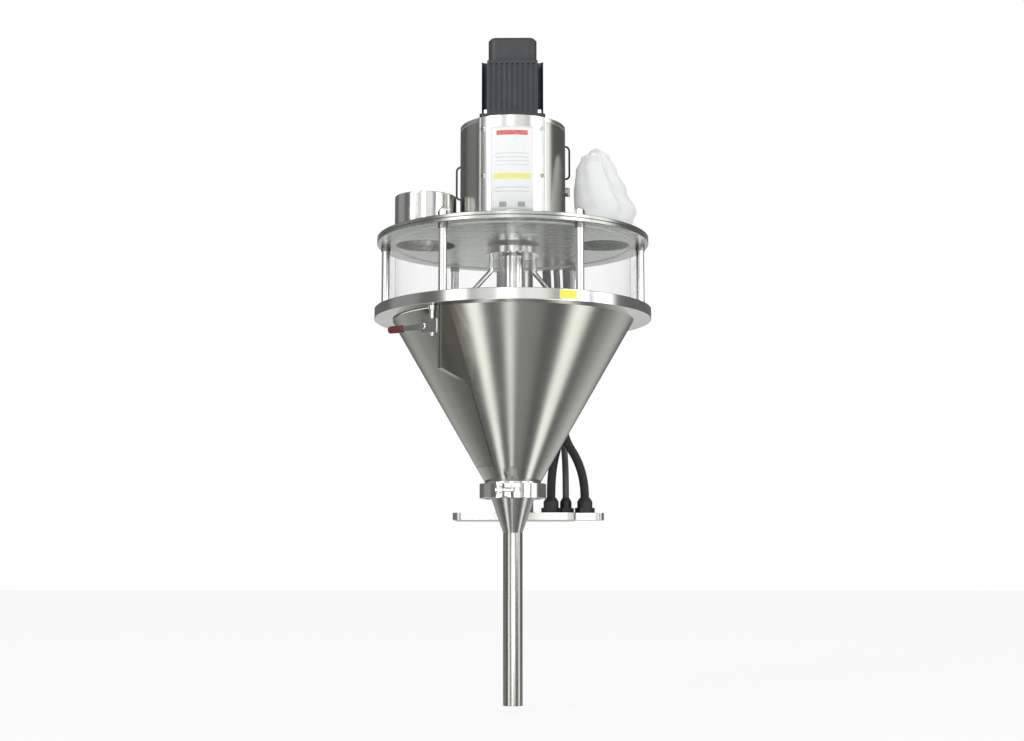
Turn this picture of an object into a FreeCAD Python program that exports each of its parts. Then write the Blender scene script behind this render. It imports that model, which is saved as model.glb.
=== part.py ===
"""Auger powder filler: the dosing head that stands on top of a bagging machine.

A servo motor turns a long screw that hangs through a split cone hopper and
doses powder down a tube. A second, slow drive turns an agitator round the
screw. The hopper's clear ring, lid and drive hang on a column behind it.

Millimetres, +Z up. Everything is modelled round the screw's axis, with the
hopper's front towards -Y, and is moved back at the end so that the origin is
the centre of the column's base plate, on its underside.
An azimuth is measured round the screw's axis from the front towards +X.
"""
import FreeCAD
import Part
import math
import os

Vector = FreeCAD.Vector
UP = Vector(0, 0, 1)

# ---- Clearances -----------------------------------------------------------
RUNNING = 0.06          # radial, shaft in bearing or bush
APART = 0.3             # between pieces that move past each other
EDGE = 1.0              # broken edges

# ---- Stand ----------------------------------------------------------------
AXIS_OUT = 320.0        # screw axis in front of the column's centre
COLUMN_OD = 80.0
COLUMN_WALL = 4.0
COLUMN_TOP_Z = 640.0
BASE_WIDTH = 260.0
BASE_DEPTH = 200.0
BASE_T = 15.0
BASE_CORNER_R = 20.0
BASE_HOLE_X = 200.0     # hole spacing, left to right
BASE_HOLE_Y = 140.0     # hole spacing, front to back
BASE_HOLE_D = 13.5
TONGUE_RIGHT = 190.0    # gland tongue, from the column's centre
TONGUE_DEPTH = 70.0
COLLAR_WALL = 16.0      # split collars of the two arms
COLLAR_H = 34.0
ARM_WIDTH = 110.0
ARM_T = 12.0

# ---- Hopper ---------------------------------------------------------------
FLANGE_OD = 546.0
FLANGE_T = 22.0
FLANGE_Z = 386.0        # underside
FLANGE_LAND = 34.5      # flange outside the cone
CONE_TOP_OD = FLANGE_OD - 2 * FLANGE_LAND
CONE_BOTTOM_Z = 68.17   # where the cone meets its neck
SHEET = 3.0             # hopper sheet
NECK_OD = 110.0         # straight collar under the cone
DOOR_ABOVE_NECK = 28.0
DOOR_FROM = -150.0      # azimuth of the hinge seam
DOOR_TO = -30.0         # azimuth of the opening seam
DOOR_TOP_GAP = 2.0
DOOR_BOTTOM_GAP = 0.6
SEAM = 1.4              # between the fins of a seam
FIN_T = 4.0
FIN_IN = 11.0           # fins' straight outer edge inside the flange's rim
FIN_R = FLANGE_OD / 2 - FIN_IN
FIN_OUTER_Z = 266.0     # lower end of that edge
FIN_INNER_Z = 245.0     # where the fin meets the cone
SEAL_T = 1.0
HINGE_OUT = 9.0         # hinge axis outside the fins' edge
HINGE_R = FIN_R + HINGE_OUT
KNUCKLE_OD = 15.0
KNUCKLE_H = 22.0
HINGE_PIN_D = 8.0
HINGE_HEAD_D = 12.0
HINGE_Z = (292.0, 350.0)

# ---- Toggle clamp on the door ---------------------------------------------
TOGGLE_IN = 10.0        # plunger inside the fins' edge
TOGGLE_R = FIN_R - TOGGLE_IN
TOGGLE_OUT = 22.0       # plunger's distance from the seam
TOGGLE_Z = 346.0        # handle pivot
PLUNGER_D = 12.0
PLUNGER_TIP_D = 17.0
PLUNGER_TIP_H = 9.0
PLUNGER_STROKE = 10.0
TOGGLE_BLOCK_H = 26.0
TOGGLE_PIN_D = 6.0
HANDLE_LENGTH = 74.0
HANDLE_BOSS_R = 7.0
HANDLE_T = 5.0
GRIP_LENGTH = 34.0
GRIP_D = 14.0

# ---- Clear ring, rods and lid ---------------------------------------------
ROD_IN = 20.0           # rods inside the flange's rim
ROD_PCD = FLANGE_OD - 2 * ROD_IN
ROD_D = 16.0
WINDOW_IN = 2.0         # clear ring inside the rods
WINDOW_OD = ROD_PCD - ROD_D - 2 * WINDOW_IN
WINDOW_WALL = 9.0
WINDOW_H = 126.0
GASKET_T = 1.0
GASKET_LIP = 2.0
ROD_COUNT = 6
ROD_STUD_D = 10.0
ROD_FIRST = 30.0        # azimuth of the first rod
SPACER_D = 18.4
SPACER_H = 9.0
NUT_H = 10.0
NUT_AF = 17.0           # across flats
LID_LAND = 16.0         # lid outside the rods' middles
LID_OD = ROD_PCD + 2 * LID_LAND
LID_T = 14.0
LID_GROOVE = 2.0

# ---- Inlet and vent -------------------------------------------------------
HOUSING_OD = 210.0      # drive housing, between the inlet and the vent
LID_SPACE = (ROD_PCD - HOUSING_OD) / 2
LID_SPACE_R = (ROD_PCD + HOUSING_OD) / 4
INLET_CLEAR = 26.0      # room beside the inlet, both sides together
INLET_OD = LID_SPACE - INLET_CLEAR
INLET_WALL = 2.0
INLET_H = 83.0
INLET_AT = (-LID_SPACE_R + 6.0, -15.0)
VENT_CLEAR = 36.0
VENT_OD = LID_SPACE - VENT_CLEAR
VENT_WALL = 2.0
VENT_H = 24.0
VENT_AT = (LID_SPACE_R - 1.0, -12.0)
BAG_CLOTH = 4.0         # loose skirt outside the vent collar
BAG_SKIRT_H = 26.0
# The bag's body: height above the lid, then middle, half width and half depth as
# shares of the collar's diameter, the middle measured from the collar's.
BAG_SECTIONS = ((50.0, 0.054, 0.5625, 0.536), (92.0, -0.045, 0.464, 0.464),
                (140.0, -0.116, 0.357, 0.339), (166.0, -0.116, 0.259, 0.214), (181.0, -0.125, 0.125, 0.08))
STRAP_T = 1.6
STRAP_H = 10.0
STRAP_UP = 8.0

# ---- Drive housing --------------------------------------------------------
HOUSING_WALL = 2.5
HOUSING_H = 217.0
HOUSING_FOOT = 8.0      # turned-in foot of the shell
COVER_CHORD = 127.0
COVER_T = 2.0
COVER_RIB = 3.0
COVER_MARGIN = 3.0
COVER_OPENING = 96.0
COVER_SCREWS_PER_SIDE = 3
SCREW_HEAD_D = 8.0
SCREW_HEAD_H = 2.4
MOTOR_PLATE_T = 10.0
LIFT_WIRE_D = 4.0
LIFT_OUT = 17.0
LIFT_BACK = 18.0        # degrees behind the housing's sides
LIFT_SPAN = 67.0
LIFT_Z = (674.0, 716.0)  # middle of the left and the right grab handle
LATCH_Z = 647.0
LATCH_D = 18.0
LATCH_L = 9.0

# ---- Motor ----------------------------------------------------------------
MOTOR_SQ = 130.0
MOTOR_PCD = 145.0
MOTOR_PILOT_D = 110.0
MOTOR_PILOT_H = 6.0
MOTOR_FLANGE_T = 14.0
MOTOR_BODY_SQ = 122.0
MOTOR_BODY_H = 109.0
MOTOR_CAP_SQ = 96.0
MOTOR_CAP_H = 52.0
MOTOR_RIBS = 9
MOTOR_RIB_DEPTH = 3.0
MOTOR_RIB_GAP = 5.0
MOTOR_SHAFT_D = 22.0
MOTOR_SHAFT_L = 55.0
MOTOR_SCREW_D = 10.0
MOTOR_CORNER_R = 9.5    # upright grooves that give room for the screws
PLUG_AT_X = (-27.0, 27.0)
PLUG_SQ = 28.0
PLUG_NECK_D = 26.0
PLUG_NECK_L = 18.0

# ---- Drive train ----------------------------------------------------------
SHAFT_D = 20.0
SHAFT_TOP_GAP = 7.0     # between the two shaft ends in the coupling
COUPLING_OD = 56.0
COUPLING_L = 66.0
SLEEVE_OD = 40.0        # agitator's hollow shaft
SLEEVE_BUSH_L = 16.0
SLEEVE_RELIEF = 2.0
BEARING_OD = 68.0
BEARING_W = 15.0
TOP_BEARING_OD = 47.0
TOP_BEARING_W = 14.0
BEARING_BOX_OD = 88.0
BEARING_BOX_H = 62.0
BEARING_FOOT_OD = 130.0
BEARING_FOOT_T = 10.0
BEARING_SHOULDER = 4.0
SEAL_RING_OD = 60.0
SEAL_RING_H = 10.0
GEAR_MODULE = 2.5
GEAR_TEETH = 36
PINION_TEETH = 18
GEAR_W = 18.0
PRESSURE_ANGLE = 20.0
BACKLASH = 0.3
GEAR_ABOVE = 2.0        # gear above the bearing box
PINION_SHAFT_D = 14.0
PINION_SHAFT_IN = 20.0  # its length inside the gearmotor
BRIDGE_UNDER = 108.0    # bridge plate's underside above the lid
BRIDGE_CLEAR = 10.0     # bridge inside the housing
BRIDGE_OD = HOUSING_OD - 2 * BRIDGE_CLEAR
BRIDGE_LEG_D = 16.0
BRIDGE_LEG_R = BRIDGE_OD / 2 - 11.0
GEARMOTOR_D = 60.0
GEARMOTOR_H = 84.0

# ---- Agitator and screw ---------------------------------------------------
HUB_OD = 104.0
HUB_T = 12.0
HUB_GAP = 6.0           # under the lid
ARM_ROD_D = 10.0
ARM_ROD_R = 44.0
ARM_AZIMUTH = 74.0
ARM_WALL_GAP = 19.0     # arms inside the cone
ARM_BEND = 14.0
CHUCK_OD = 48.0         # sleeve that joins the screw to its drive shaft
CHUCK_L = 134.0
CHUCK_GAP = 2.0
CHUCK_WALL_END = 8.0
FLIGHT_OD = 34.0
FLIGHT_PITCH = 38.0
FLIGHT_T = 3.0
FLIGHT_TOP_Z = 168.0
FLIGHT_SUNK = 0.6       # welded root of the flight in its rod

# ---- Discharge ------------------------------------------------------------
JOINT_Z = 50.5          # middle of the clamped joint
JOINT_GASKET_T = 2.0
FERRULE_OD = 119.0
FERRULE_BORE = 94.0
FERRULE_RIM = 3.0
FERRULE_SLOPE = 20.0
CLAMP_OD = 130.0
CLAMP_H = 29.0
CLAMP_SPLIT = 6.0       # gap between the two halves
EAR_L = 24.0
EAR_T = 11.0
EAR_H = 24.0
CLAMP_BOLT_D = 8.0
CLAMP_BOLT_OUT = 13.0   # bolt axis outside the ring
CLAMP_EYE_D = 15.0
CLAMP_SLOT = 9.0
NUT_FACE_GAP = 2.4
WING_SPAN = 30.0
WING_T = 4.0
WING_NUT_D = 15.0
NUT_BEVEL = 3.2         # tapered face that lets the nut swing past the ear
WING_NUT_L = 10.0
REDUCER_SHOULDER_Z = 36.0
REDUCER_SHOULDER_OD = 84.0
REDUCER_END_Z = -30.0
TUBE_OD = 38.0
TUBE_WALL = 1.5
TUBE_LENGTH = 330.0

# ---- Cables ---------------------------------------------------------------
CONDUIT_D = 19.0
SENSOR_D = 14.0
GLAND_X = (78.0, 110.0, 150.0)
GLAND_Y = (285.0, 309.0, 285.0)
GLAND_H = 33.0
CLIP_Z = 470.0
CLIP_Y = 330.0
CLIP_X = (72.0, 94.0, 116.0)
CLIP_RUN = 175.0        # straight, upright run of a conduit through the clip
SENSOR_RUN = 115.0
CLIP_T = 4.0
CLIP_H = 16.0
SENSOR_EXIT = (36.0, 600.0)   # x and z on the housing's back
SENSOR_GLAND_L = 22.0

# ---- Worked out -----------------------------------------------------------
SLOPE = (CONE_TOP_OD - NECK_OD) / 2 / (FLANGE_Z - CONE_BOTTOM_Z)
SHEET_R = SHEET * math.hypot(1, SLOPE)
DOOR_BOTTOM_Z = CONE_BOTTOM_Z + DOOR_ABOVE_NECK
WINDOW_Z = FLANGE_Z + FLANGE_T + GASKET_T
LID_Z = WINDOW_Z + WINDOW_H + GASKET_T
LID_TOP_Z = LID_Z + LID_T
MOTOR_PLATE_Z = LID_TOP_Z + HOUSING_H
MOTOR_Z = MOTOR_PLATE_Z + MOTOR_PLATE_T
BRIDGE_Z = LID_TOP_Z + BRIDGE_UNDER
GEAR_Z = LID_TOP_Z + BEARING_BOX_H + GEAR_ABOVE
CENTRES = GEAR_MODULE * (GEAR_TEETH + PINION_TEETH) / 2
HUB_TOP_Z = LID_Z - HUB_GAP
HUB_Z = HUB_TOP_Z - HUB_T
CHUCK_TOP_Z = HUB_Z - CHUCK_GAP
CHUCK_Z = CHUCK_TOP_Z - CHUCK_L
MOTOR_SHAFT_END_Z = MOTOR_Z - MOTOR_SHAFT_L
SHAFT_TOP_Z = MOTOR_SHAFT_END_Z - SHAFT_TOP_GAP
TUBE_END_Z = REDUCER_END_Z - TUBE_LENGTH
COLUMN_AT = Vector(0, AXIS_OUT, 0)


# ---- Helpers --------------------------------------------------------------
def cylinder(radius, z0, z1, x=0.0, y=0.0):
    return Part.makeCylinder(radius, z1 - z0, Vector(x, y, z0))


def ring(outer, inner, z0, z1, x=0.0, y=0.0):
    return cylinder(outer, z0, z1, x, y).cut(cylinder(inner, z0 - 1, z1 + 1, x, y))


def block(x0, x1, y0, y1, z0, z1):
    return Part.makeBox(x1 - x0, y1 - y0, z1 - z0, Vector(x0, y0, z0))


def rod(start, end, radius):
    line = end - start
    return Part.makeCylinder(radius, line.Length, start, line)


def turned(shape, azimuth):
    """A copy of a shape made at the front, swung round to an azimuth."""
    copy = shape.copy()
    copy.rotate(Vector(0, 0, 0), UP, azimuth)
    return copy


def around(radius, azimuth, z=0.0):
    angle = math.radians(azimuth)
    return Vector(radius * math.sin(angle), -radius * math.cos(angle), z)


def fused(shapes):
    whole = shapes[0]
    if len(shapes) > 1:
        whole = whole.multiFuse(shapes[1:])
    return whole.removeSplitter()


def face(points):
    corners = [Vector(*p) for p in points]
    return Part.Face(Part.makePolygon(corners + [corners[0]]))


def revolved(profile, degrees=360.0, start=0.0):
    """Turn a profile of (radius, z) points about the Z axis, from an azimuth on."""
    section = face([(0, -r, z) for r, z in profile])
    return turned(section.revolve(Vector(0, 0, 0), UP, degrees), start)


def prism(points, z0, z1):
    return face([(x, y, z0) for x, y in points]).extrude(Vector(0, 0, z1 - z0))


def hexagon(across_flats, z0, z1, x=0.0, y=0.0):
    radius = across_flats / math.sqrt(3)
    corners = [(x + radius * math.cos(math.radians(60 * k)),
                y + radius * math.sin(math.radians(60 * k))) for k in range(6)]
    return prism(corners, z0, z1)


def rounded_plate(width, depth, corner, z0, z1, x=0.0, y=0.0):
    plate = block(x - width / 2, x + width / 2, y - depth / 2, y + depth / 2, z0, z1)
    upright = [e for e in plate.Edges if abs(e.tangentAt(0).z) > 0.5]
    return plate.makeFillet(corner, upright)


def rounded_path(points, share=None, bend=None):
    """Straight runs joined by tangent arcs, and the arcs' radii.

    The arcs take a share of the shorter run beside them, or a fixed bend.
    """
    corners = [Vector(*p) for p in points]
    edges = []
    radii = []
    start = corners[0]
    for before, corner, after in zip(corners, corners[1:], corners[2:]):
        run_in = corner - before
        run_out = after - corner
        half_turn = run_in.getAngle(run_out) / 2
        if bend is None:
            trim = share * min(run_in.Length, run_out.Length)
            radius = trim / math.tan(half_turn)
        else:
            radius = bend
            trim = radius * math.tan(half_turn)
        way_in = Vector(run_in).normalize()
        way_out = Vector(run_out).normalize()
        inward = (way_out - way_in).normalize()
        arc_start = corner - way_in * trim
        arc_end = corner + way_out * trim
        centre = corner + inward * (radius / math.cos(half_turn))
        edges.append(Part.LineSegment(start, arc_start).toShape())
        edges.append(Part.Arc(arc_start, centre - inward * radius, arc_end).toShape())
        radii.append(radius)
        start = arc_end
    edges.append(Part.LineSegment(start, corners[-1]).toShape())
    return Part.Wire(edges), radii


def piped(path, radius, points):
    """A round bar along a path."""
    start = Vector(*points[0])
    way = Vector(*points[1]) - start
    section = Part.Wire(Part.makeCircle(radius, start, way))
    return path.makePipeShell([section], True, False)


def bent_rod(points, radius, bend):
    path, _ = rounded_path(points, bend=bend)
    return piped(path, radius, points)


def cone_radius(z):
    """Outer radius of the hopper cone at a height."""
    return CONE_TOP_OD / 2 - (FLANGE_Z - z) * SLOPE


# ---- Stand ----------------------------------------------------------------
def base_plate():
    y = AXIS_OUT
    plate = rounded_plate(BASE_WIDTH, BASE_DEPTH, BASE_CORNER_R, 0, BASE_T, 0, y)
    tongue = rounded_plate(TONGUE_RIGHT, TONGUE_DEPTH, BASE_CORNER_R, 0, BASE_T,
                           TONGUE_RIGHT / 2, GLAND_Y[-1])
    plate = fused([plate, tongue])
    for sx in (-1, 1):
        for sy in (-1, 1):
            plate = plate.cut(cylinder(BASE_HOLE_D / 2, -1, BASE_T + 1,
                                       sx * BASE_HOLE_X / 2, y + sy * BASE_HOLE_Y / 2))
    return plate


def column():
    outer = COLUMN_OD / 2
    inner = outer - COLUMN_WALL
    tube = ring(outer, inner, BASE_T, COLUMN_TOP_Z, 0, AXIS_OUT)
    cap = cylinder(outer, COLUMN_TOP_Z, COLUMN_TOP_Z + 2 * COLUMN_WALL, 0, AXIS_OUT)
    cap = cap.makeFillet(COLUMN_WALL, [e for e in cap.Edges if e.CenterOfMass.z > COLUMN_TOP_Z + COLUMN_WALL
                                       and e.Length > outer])
    return fused([tube, cap])


def arm(collar_z, plate_z, reach_r):
    """A collar round the column with a plate that reaches over or under a ring."""
    y = AXIS_OUT
    outer = COLUMN_OD / 2 + COLLAR_WALL
    collar = cylinder(outer, collar_z, collar_z + COLLAR_H, 0, y)
    plate = block(-ARM_WIDTH / 2, ARM_WIDTH / 2, reach_r, y, plate_z, plate_z + ARM_T)
    bore = cylinder(COLUMN_OD / 2, collar_z - 1, collar_z + COLLAR_H + 1, 0, y)
    split = block(-2, 2, y, y + outer + 1, collar_z - 1, collar_z + COLLAR_H + 1)
    whole = fused([collar, plate]).cut(bore).cut(split)
    inside = cylinder(reach_r, plate_z - 1, plate_z + ARM_T + 1)
    return whole.cut(inside)


ARM_REACH_LOW = CONE_TOP_OD / 2 + 6     # clear of the cone's top edge
ARM_FROM_HOUSING = 70.0
ARM_REACH_HIGH = HOUSING_OD / 2 + ARM_FROM_HOUSING
ARM_SCREW_R = (FLANGE_OD + CONE_TOP_OD) / 4 + 2
ARM_SCREW_OFF = 9.0                     # degrees either side of the back


def lower_arm():
    plate_z = FLANGE_Z - ARM_T
    return arm(FLANGE_Z - COLLAR_H, plate_z, ARM_REACH_LOW)


def upper_arm():
    return arm(LID_TOP_Z, LID_TOP_Z, ARM_REACH_HIGH)


def socket_screw(x, y, z_seat, up, head_d):
    """Cap head with its hexagon socket; up is +1 for a head above its seat."""
    head_h = 0.6 * head_d
    z0, z1 = sorted((z_seat, z_seat + up * head_h))
    top = z_seat + up * head_h
    low, high = sorted((top, top - up * 0.5 * head_h))
    return cylinder(head_d / 2, z0, z1, x, y).cut(hexagon(0.5 * head_d, low, high, x, y))


def socket_screws():
    """Motor, arm and collar screws: one kind of cap screw."""
    screws = []
    at = MOTOR_PCD / 2 / math.sqrt(2)
    for sx in (-1, 1):
        for sy in (-1, 1):
            screws.append(socket_screw(sx * at, sy * at, MOTOR_Z + MOTOR_FLANGE_T, 1,
                                       MOTOR_SCREW_D * 1.5))
    for side in (-1, 1):
        spot = around(ARM_SCREW_R, 180 + side * ARM_SCREW_OFF)
        screws.append(socket_screw(spot.x, spot.y, FLANGE_Z - ARM_T, -1, MOTOR_SCREW_D * 1.5))
        screws.append(socket_screw(spot.x, spot.y - ARM_T, LID_TOP_Z + ARM_T, 1, MOTOR_SCREW_D * 1.5))
    return Part.makeCompound(screws)


# ---- Hopper ---------------------------------------------------------------
def rod_spots():
    return [around(ROD_PCD / 2, ROD_FIRST + k * 360 / ROD_COUNT) for k in range(ROD_COUNT)]


def flange_ring():
    outer = FLANGE_OD / 2
    inner = CONE_TOP_OD / 2 - SHEET_R
    z0 = FLANGE_Z
    z1 = FLANGE_Z + FLANGE_T
    body = revolved([(inner, z0), (outer - EDGE, z0), (outer, z0 + EDGE),
                     (outer, z1 - EDGE), (outer - EDGE, z1), (inner, z1)])
    for spot in rod_spots():
        body = body.cut(cylinder(ROD_STUD_D / 2, z0 + FLANGE_T / 3, z1 + 1, spot.x, spot.y))
    return body


def cone_wall(z0, z1, degrees, start):
    outer0 = cone_radius(z0)
    outer1 = cone_radius(z1)
    return revolved([(outer0 - SHEET_R, z0), (outer0, z0), (outer1, z1), (outer1 - SHEET_R, z1)],
                    degrees, start)


def fin(side, top_z):
    """A seam fin at the front; side is +1 for the one at higher azimuth."""
    sunk = SHEET_R / 2
    outline = [(cone_radius(FIN_INNER_Z) - sunk, FIN_INNER_Z), (FIN_R, FIN_OUTER_Z),
               (FIN_R, top_z), (cone_radius(top_z) - sunk, top_z)]
    near = side * SEAM / 2
    far = side * (SEAM / 2 + FIN_T)
    x0, x1 = sorted((near, far))
    return face([(x0, -r, z) for r, z in outline]).extrude(Vector(x1 - x0, 0, 0))


def seam_slab():
    """The gap that a seam leaves, at the front."""
    return block(-SEAM / 2, SEAM / 2, -FLANGE_OD, 0, DOOR_BOTTOM_Z, FLANGE_Z)


def knuckle(z, outer=KNUCKLE_OD / 2):
    spot = Vector(0, -HINGE_R, z)
    return cylinder(outer, z, z + KNUCKLE_H, spot.x, spot.y)


def hinge_bridge(side, z):
    """Joins a knuckle to the outer edge of its fin, at the front."""
    x0, x1 = sorted((side * SEAM / 2, side * (SEAM / 2 + FIN_T)))
    return block(x0, x1, -HINGE_R, -FIN_R + FIN_T, z, z + KNUCKLE_H)


def hinge_parts(side, top_z):
    """Knuckles and their bridges for one side of the hinge, at the front."""
    pieces = []
    for z in HINGE_Z:
        lift = 0.0 if side < 0 else KNUCKLE_H + APART
        pieces.append(hinge_bridge(side, z - lift))
        pieces.append(knuckle(z - lift))
    return pieces


def hinge_bores():
    """What the hinge pins' holes take away, at the front."""
    radius = HINGE_PIN_D / 2 + RUNNING
    return [cylinder(radius, z - KNUCKLE_H - 2, z + KNUCKLE_H + 1, 0, -HINGE_R) for z in HINGE_Z]


def knuckle_room(other_side):
    """Room cut in a fin's bridge so that it clears the other side's knuckles."""
    lift = KNUCKLE_H + APART if other_side > 0 else 0.0
    return [cylinder(KNUCKLE_OD / 2 + APART, z - lift - APART, z - lift + KNUCKLE_H + APART, 0, -HINGE_R)
            for z in HINGE_Z]


def hopper_cone():
    span = 360 - (DOOR_TO - DOOR_FROM)
    upper = cone_wall(DOOR_BOTTOM_Z, FLANGE_Z, span, DOOR_TO)
    for azimuth in (DOOR_FROM, DOOR_TO):
        upper = upper.cut(turned(seam_slab(), azimuth))
    lower = cone_wall(CONE_BOTTOM_Z, DOOR_BOTTOM_Z, 360, 0)
    fins = [turned(fin(1, FLANGE_Z), DOOR_TO), turned(fin(-1, FLANGE_Z), DOOR_FROM)]
    hinge = [turned(piece, DOOR_FROM) for piece in hinge_parts(-1, FLANGE_Z)]
    body = fused([upper, lower] + fins + hinge)
    for cut in hinge_bores() + knuckle_room(1):
        body = body.cut(turned(cut, DOOR_FROM))
    return body


def door_shell():
    z0 = DOOR_BOTTOM_Z + DOOR_BOTTOM_GAP
    z1 = FLANGE_Z - DOOR_TOP_GAP
    shell = cone_wall(z0, z1, DOOR_TO - DOOR_FROM, DOOR_FROM)
    for azimuth in (DOOR_FROM, DOOR_TO):
        shell = shell.cut(turned(seam_slab(), azimuth))
    fins = [turned(fin(-1, z1), DOOR_TO), turned(fin(1, z1), DOOR_FROM)]
    hinge = [turned(piece, DOOR_FROM) for piece in hinge_parts(1, z1)]
    body = fused([shell] + fins + hinge)
    for cut in hinge_bores() + knuckle_room(-1):
        body = body.cut(turned(cut, DOOR_FROM))
    return body


def door_seal():
    """Silicone strips on the door's two fins, inside each seam."""
    strips = []
    inset = FIN_T
    top_z = FLANGE_Z - DOOR_TOP_GAP
    outline = [(cone_radius(FIN_INNER_Z) + inset, FIN_INNER_Z + inset), (FIN_R - inset, FIN_OUTER_Z + inset),
               (FIN_R - inset, top_z - inset), (cone_radius(top_z) + inset, top_z - inset)]
    for side, azimuth in ((-1, DOOR_TO), (1, DOOR_FROM)):
        x0, x1 = sorted((side * SEAM / 2, side * (SEAM / 2 - SEAL_T)))
        strip = face([(x0, -r, z) for r, z in outline]).extrude(Vector(x1 - x0, 0, 0))
        strips.append(turned(strip, azimuth))
    return Part.makeCompound(strips)


def hinge_pins():
    pins = []
    for z in HINGE_Z:
        foot = z - KNUCKLE_H - APART
        shank = cylinder(HINGE_PIN_D / 2, foot - 2, z + KNUCKLE_H, 0, -HINGE_R)
        head = cylinder(HINGE_HEAD_D / 2, z + KNUCKLE_H, z + KNUCKLE_H + 3, 0, -HINGE_R)
        pins.append(turned(fused([shank, head]), DOOR_FROM))
    return Part.makeCompound(pins)


# ---- Toggle clamp: made at the front, then turned to the opening seam -----
def toggle_base():
    """Block on the door's fin with the plunger's guide and the handle's cheeks."""
    fin_face = -(SEAM / 2 + FIN_T)
    x_out = handle_pivot_x() - TOGGLE_PIN_D
    y_in = -TOGGLE_R + PLUNGER_D
    y_out = -TOGGLE_R - PLUNGER_D
    low = TOGGLE_Z - TOGGLE_BLOCK_H / 2
    high = TOGGLE_Z + TOGGLE_BLOCK_H / 2
    plate = block(fin_face - FIN_T, fin_face, -FIN_R + EDGE, y_in, low - FIN_T, high)
    body = block(x_out, fin_face - FIN_T / 2, y_out, y_in, low, high)
    upright = [e for e in body.Edges if abs(e.tangentAt(0).z) > 0.5 and e.CenterOfMass.x < x_out + 1]
    body = body.makeFillet(3 * EDGE, upright)
    guide = cylinder(PLUNGER_D / 2 + RUNNING, low - FIN_T - 1, high + 1, -TOGGLE_OUT, -TOGGLE_R)
    slot = block(x_out - 1, -TOGGLE_OUT,
                 -TOGGLE_R - HANDLE_T / 2 - APART, -TOGGLE_R + HANDLE_T / 2 + APART, low - 1, high + 1)
    pivot = handle_pivot_x()
    pin = rod(Vector(pivot, y_out, TOGGLE_Z), Vector(pivot, y_in, TOGGLE_Z), TOGGLE_PIN_D / 2)
    pin_head = rod(Vector(pivot, y_out - 2, TOGGLE_Z), Vector(pivot, y_out, TOGGLE_Z), TOGGLE_PIN_D / 2 + 2)
    return turned(fused([fused([plate, body]).cut(guide).cut(slot), pin, pin_head]), DOOR_TO)


def handle_pivot_x():
    return -TOGGLE_OUT - PLUNGER_D / 2 - HANDLE_BOSS_R - EDGE


def toggle_plunger():
    top = FLANGE_Z - APART
    x, y = -TOGGLE_OUT, -TOGGLE_R
    low = TOGGLE_Z - TOGGLE_BLOCK_H / 2 - PLUNGER_STROKE / 2
    stem = cylinder(PLUNGER_D / 2, low, top - PLUNGER_TIP_H, x, y)
    tip = cylinder(PLUNGER_TIP_D / 2, top - PLUNGER_TIP_H, top, x, y)
    tip = tip.makeChamfer(EDGE, [e for e in tip.Edges if e.CenterOfMass.z > top - EDGE and e.Length > 9])
    return turned(fused([stem, tip]), DOOR_TO)


def toggle_handle():
    pivot = handle_pivot_x()
    y0 = -TOGGLE_R - HANDLE_T / 2
    boss_r = HANDLE_BOSS_R
    end = pivot - HANDLE_LENGTH
    outline = [(pivot, y0, TOGGLE_Z + boss_r), (end, y0, TOGGLE_Z + boss_r / 2),
               (end, y0, TOGGLE_Z - boss_r / 2), (pivot, y0, TOGGLE_Z - boss_r)]
    lever = face(outline).extrude(Vector(0, HANDLE_T, 0))
    boss = rod(Vector(pivot, y0, TOGGLE_Z), Vector(pivot, y0 + HANDLE_T, TOGGLE_Z), boss_r)
    hole = rod(Vector(pivot, y0 - 1, TOGGLE_Z), Vector(pivot, y0 + HANDLE_T + 1, TOGGLE_Z),
               TOGGLE_PIN_D / 2 + RUNNING)
    return turned(fused([lever, boss]).cut(hole), DOOR_TO)


def toggle_grip():
    end = handle_pivot_x() - HANDLE_LENGTH
    start = end + GRIP_LENGTH * 0.7
    tip = end - GRIP_LENGTH * 0.3
    y = -TOGGLE_R
    grip = rod(Vector(start, y, TOGGLE_Z), Vector(tip, y, TOGGLE_Z), GRIP_D / 2)
    grip = grip.makeFillet(GRIP_D * 0.28, [e for e in grip.Edges if e.Length > GRIP_D * 2])
    lever = turned(toggle_handle(), -DOOR_TO)
    return turned(grip.cut(lever), DOOR_TO)


# ---- Clear ring, rods and lid ---------------------------------------------
def window_cylinder():
    outer = WINDOW_OD / 2
    return ring(outer, outer - WINDOW_WALL, WINDOW_Z, WINDOW_Z + WINDOW_H)


def window_gaskets():
    outer = WINDOW_OD / 2
    inner = outer - WINDOW_WALL - GASKET_LIP
    low = ring(outer, inner, WINDOW_Z - GASKET_T, WINDOW_Z)
    high = ring(outer, inner, LID_Z - GASKET_T, LID_Z)
    return Part.makeCompound([low, high])


def tie_rods():
    rods = []
    for spot in rod_spots():
        body = cylinder(ROD_D / 2, FLANGE_Z + FLANGE_T, LID_Z - SPACER_H, spot.x, spot.y)
        stud = cylinder(ROD_STUD_D / 2, FLANGE_Z + FLANGE_T / 3, LID_TOP_Z + NUT_H - 2, spot.x, spot.y)
        rods.append(fused([body, stud]))
    return Part.makeCompound(rods)


def rod_spacers():
    return Part.makeCompound([ring(SPACER_D / 2, ROD_STUD_D / 2, LID_Z - SPACER_H, LID_Z, p.x, p.y)
                              for p in rod_spots()])


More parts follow.
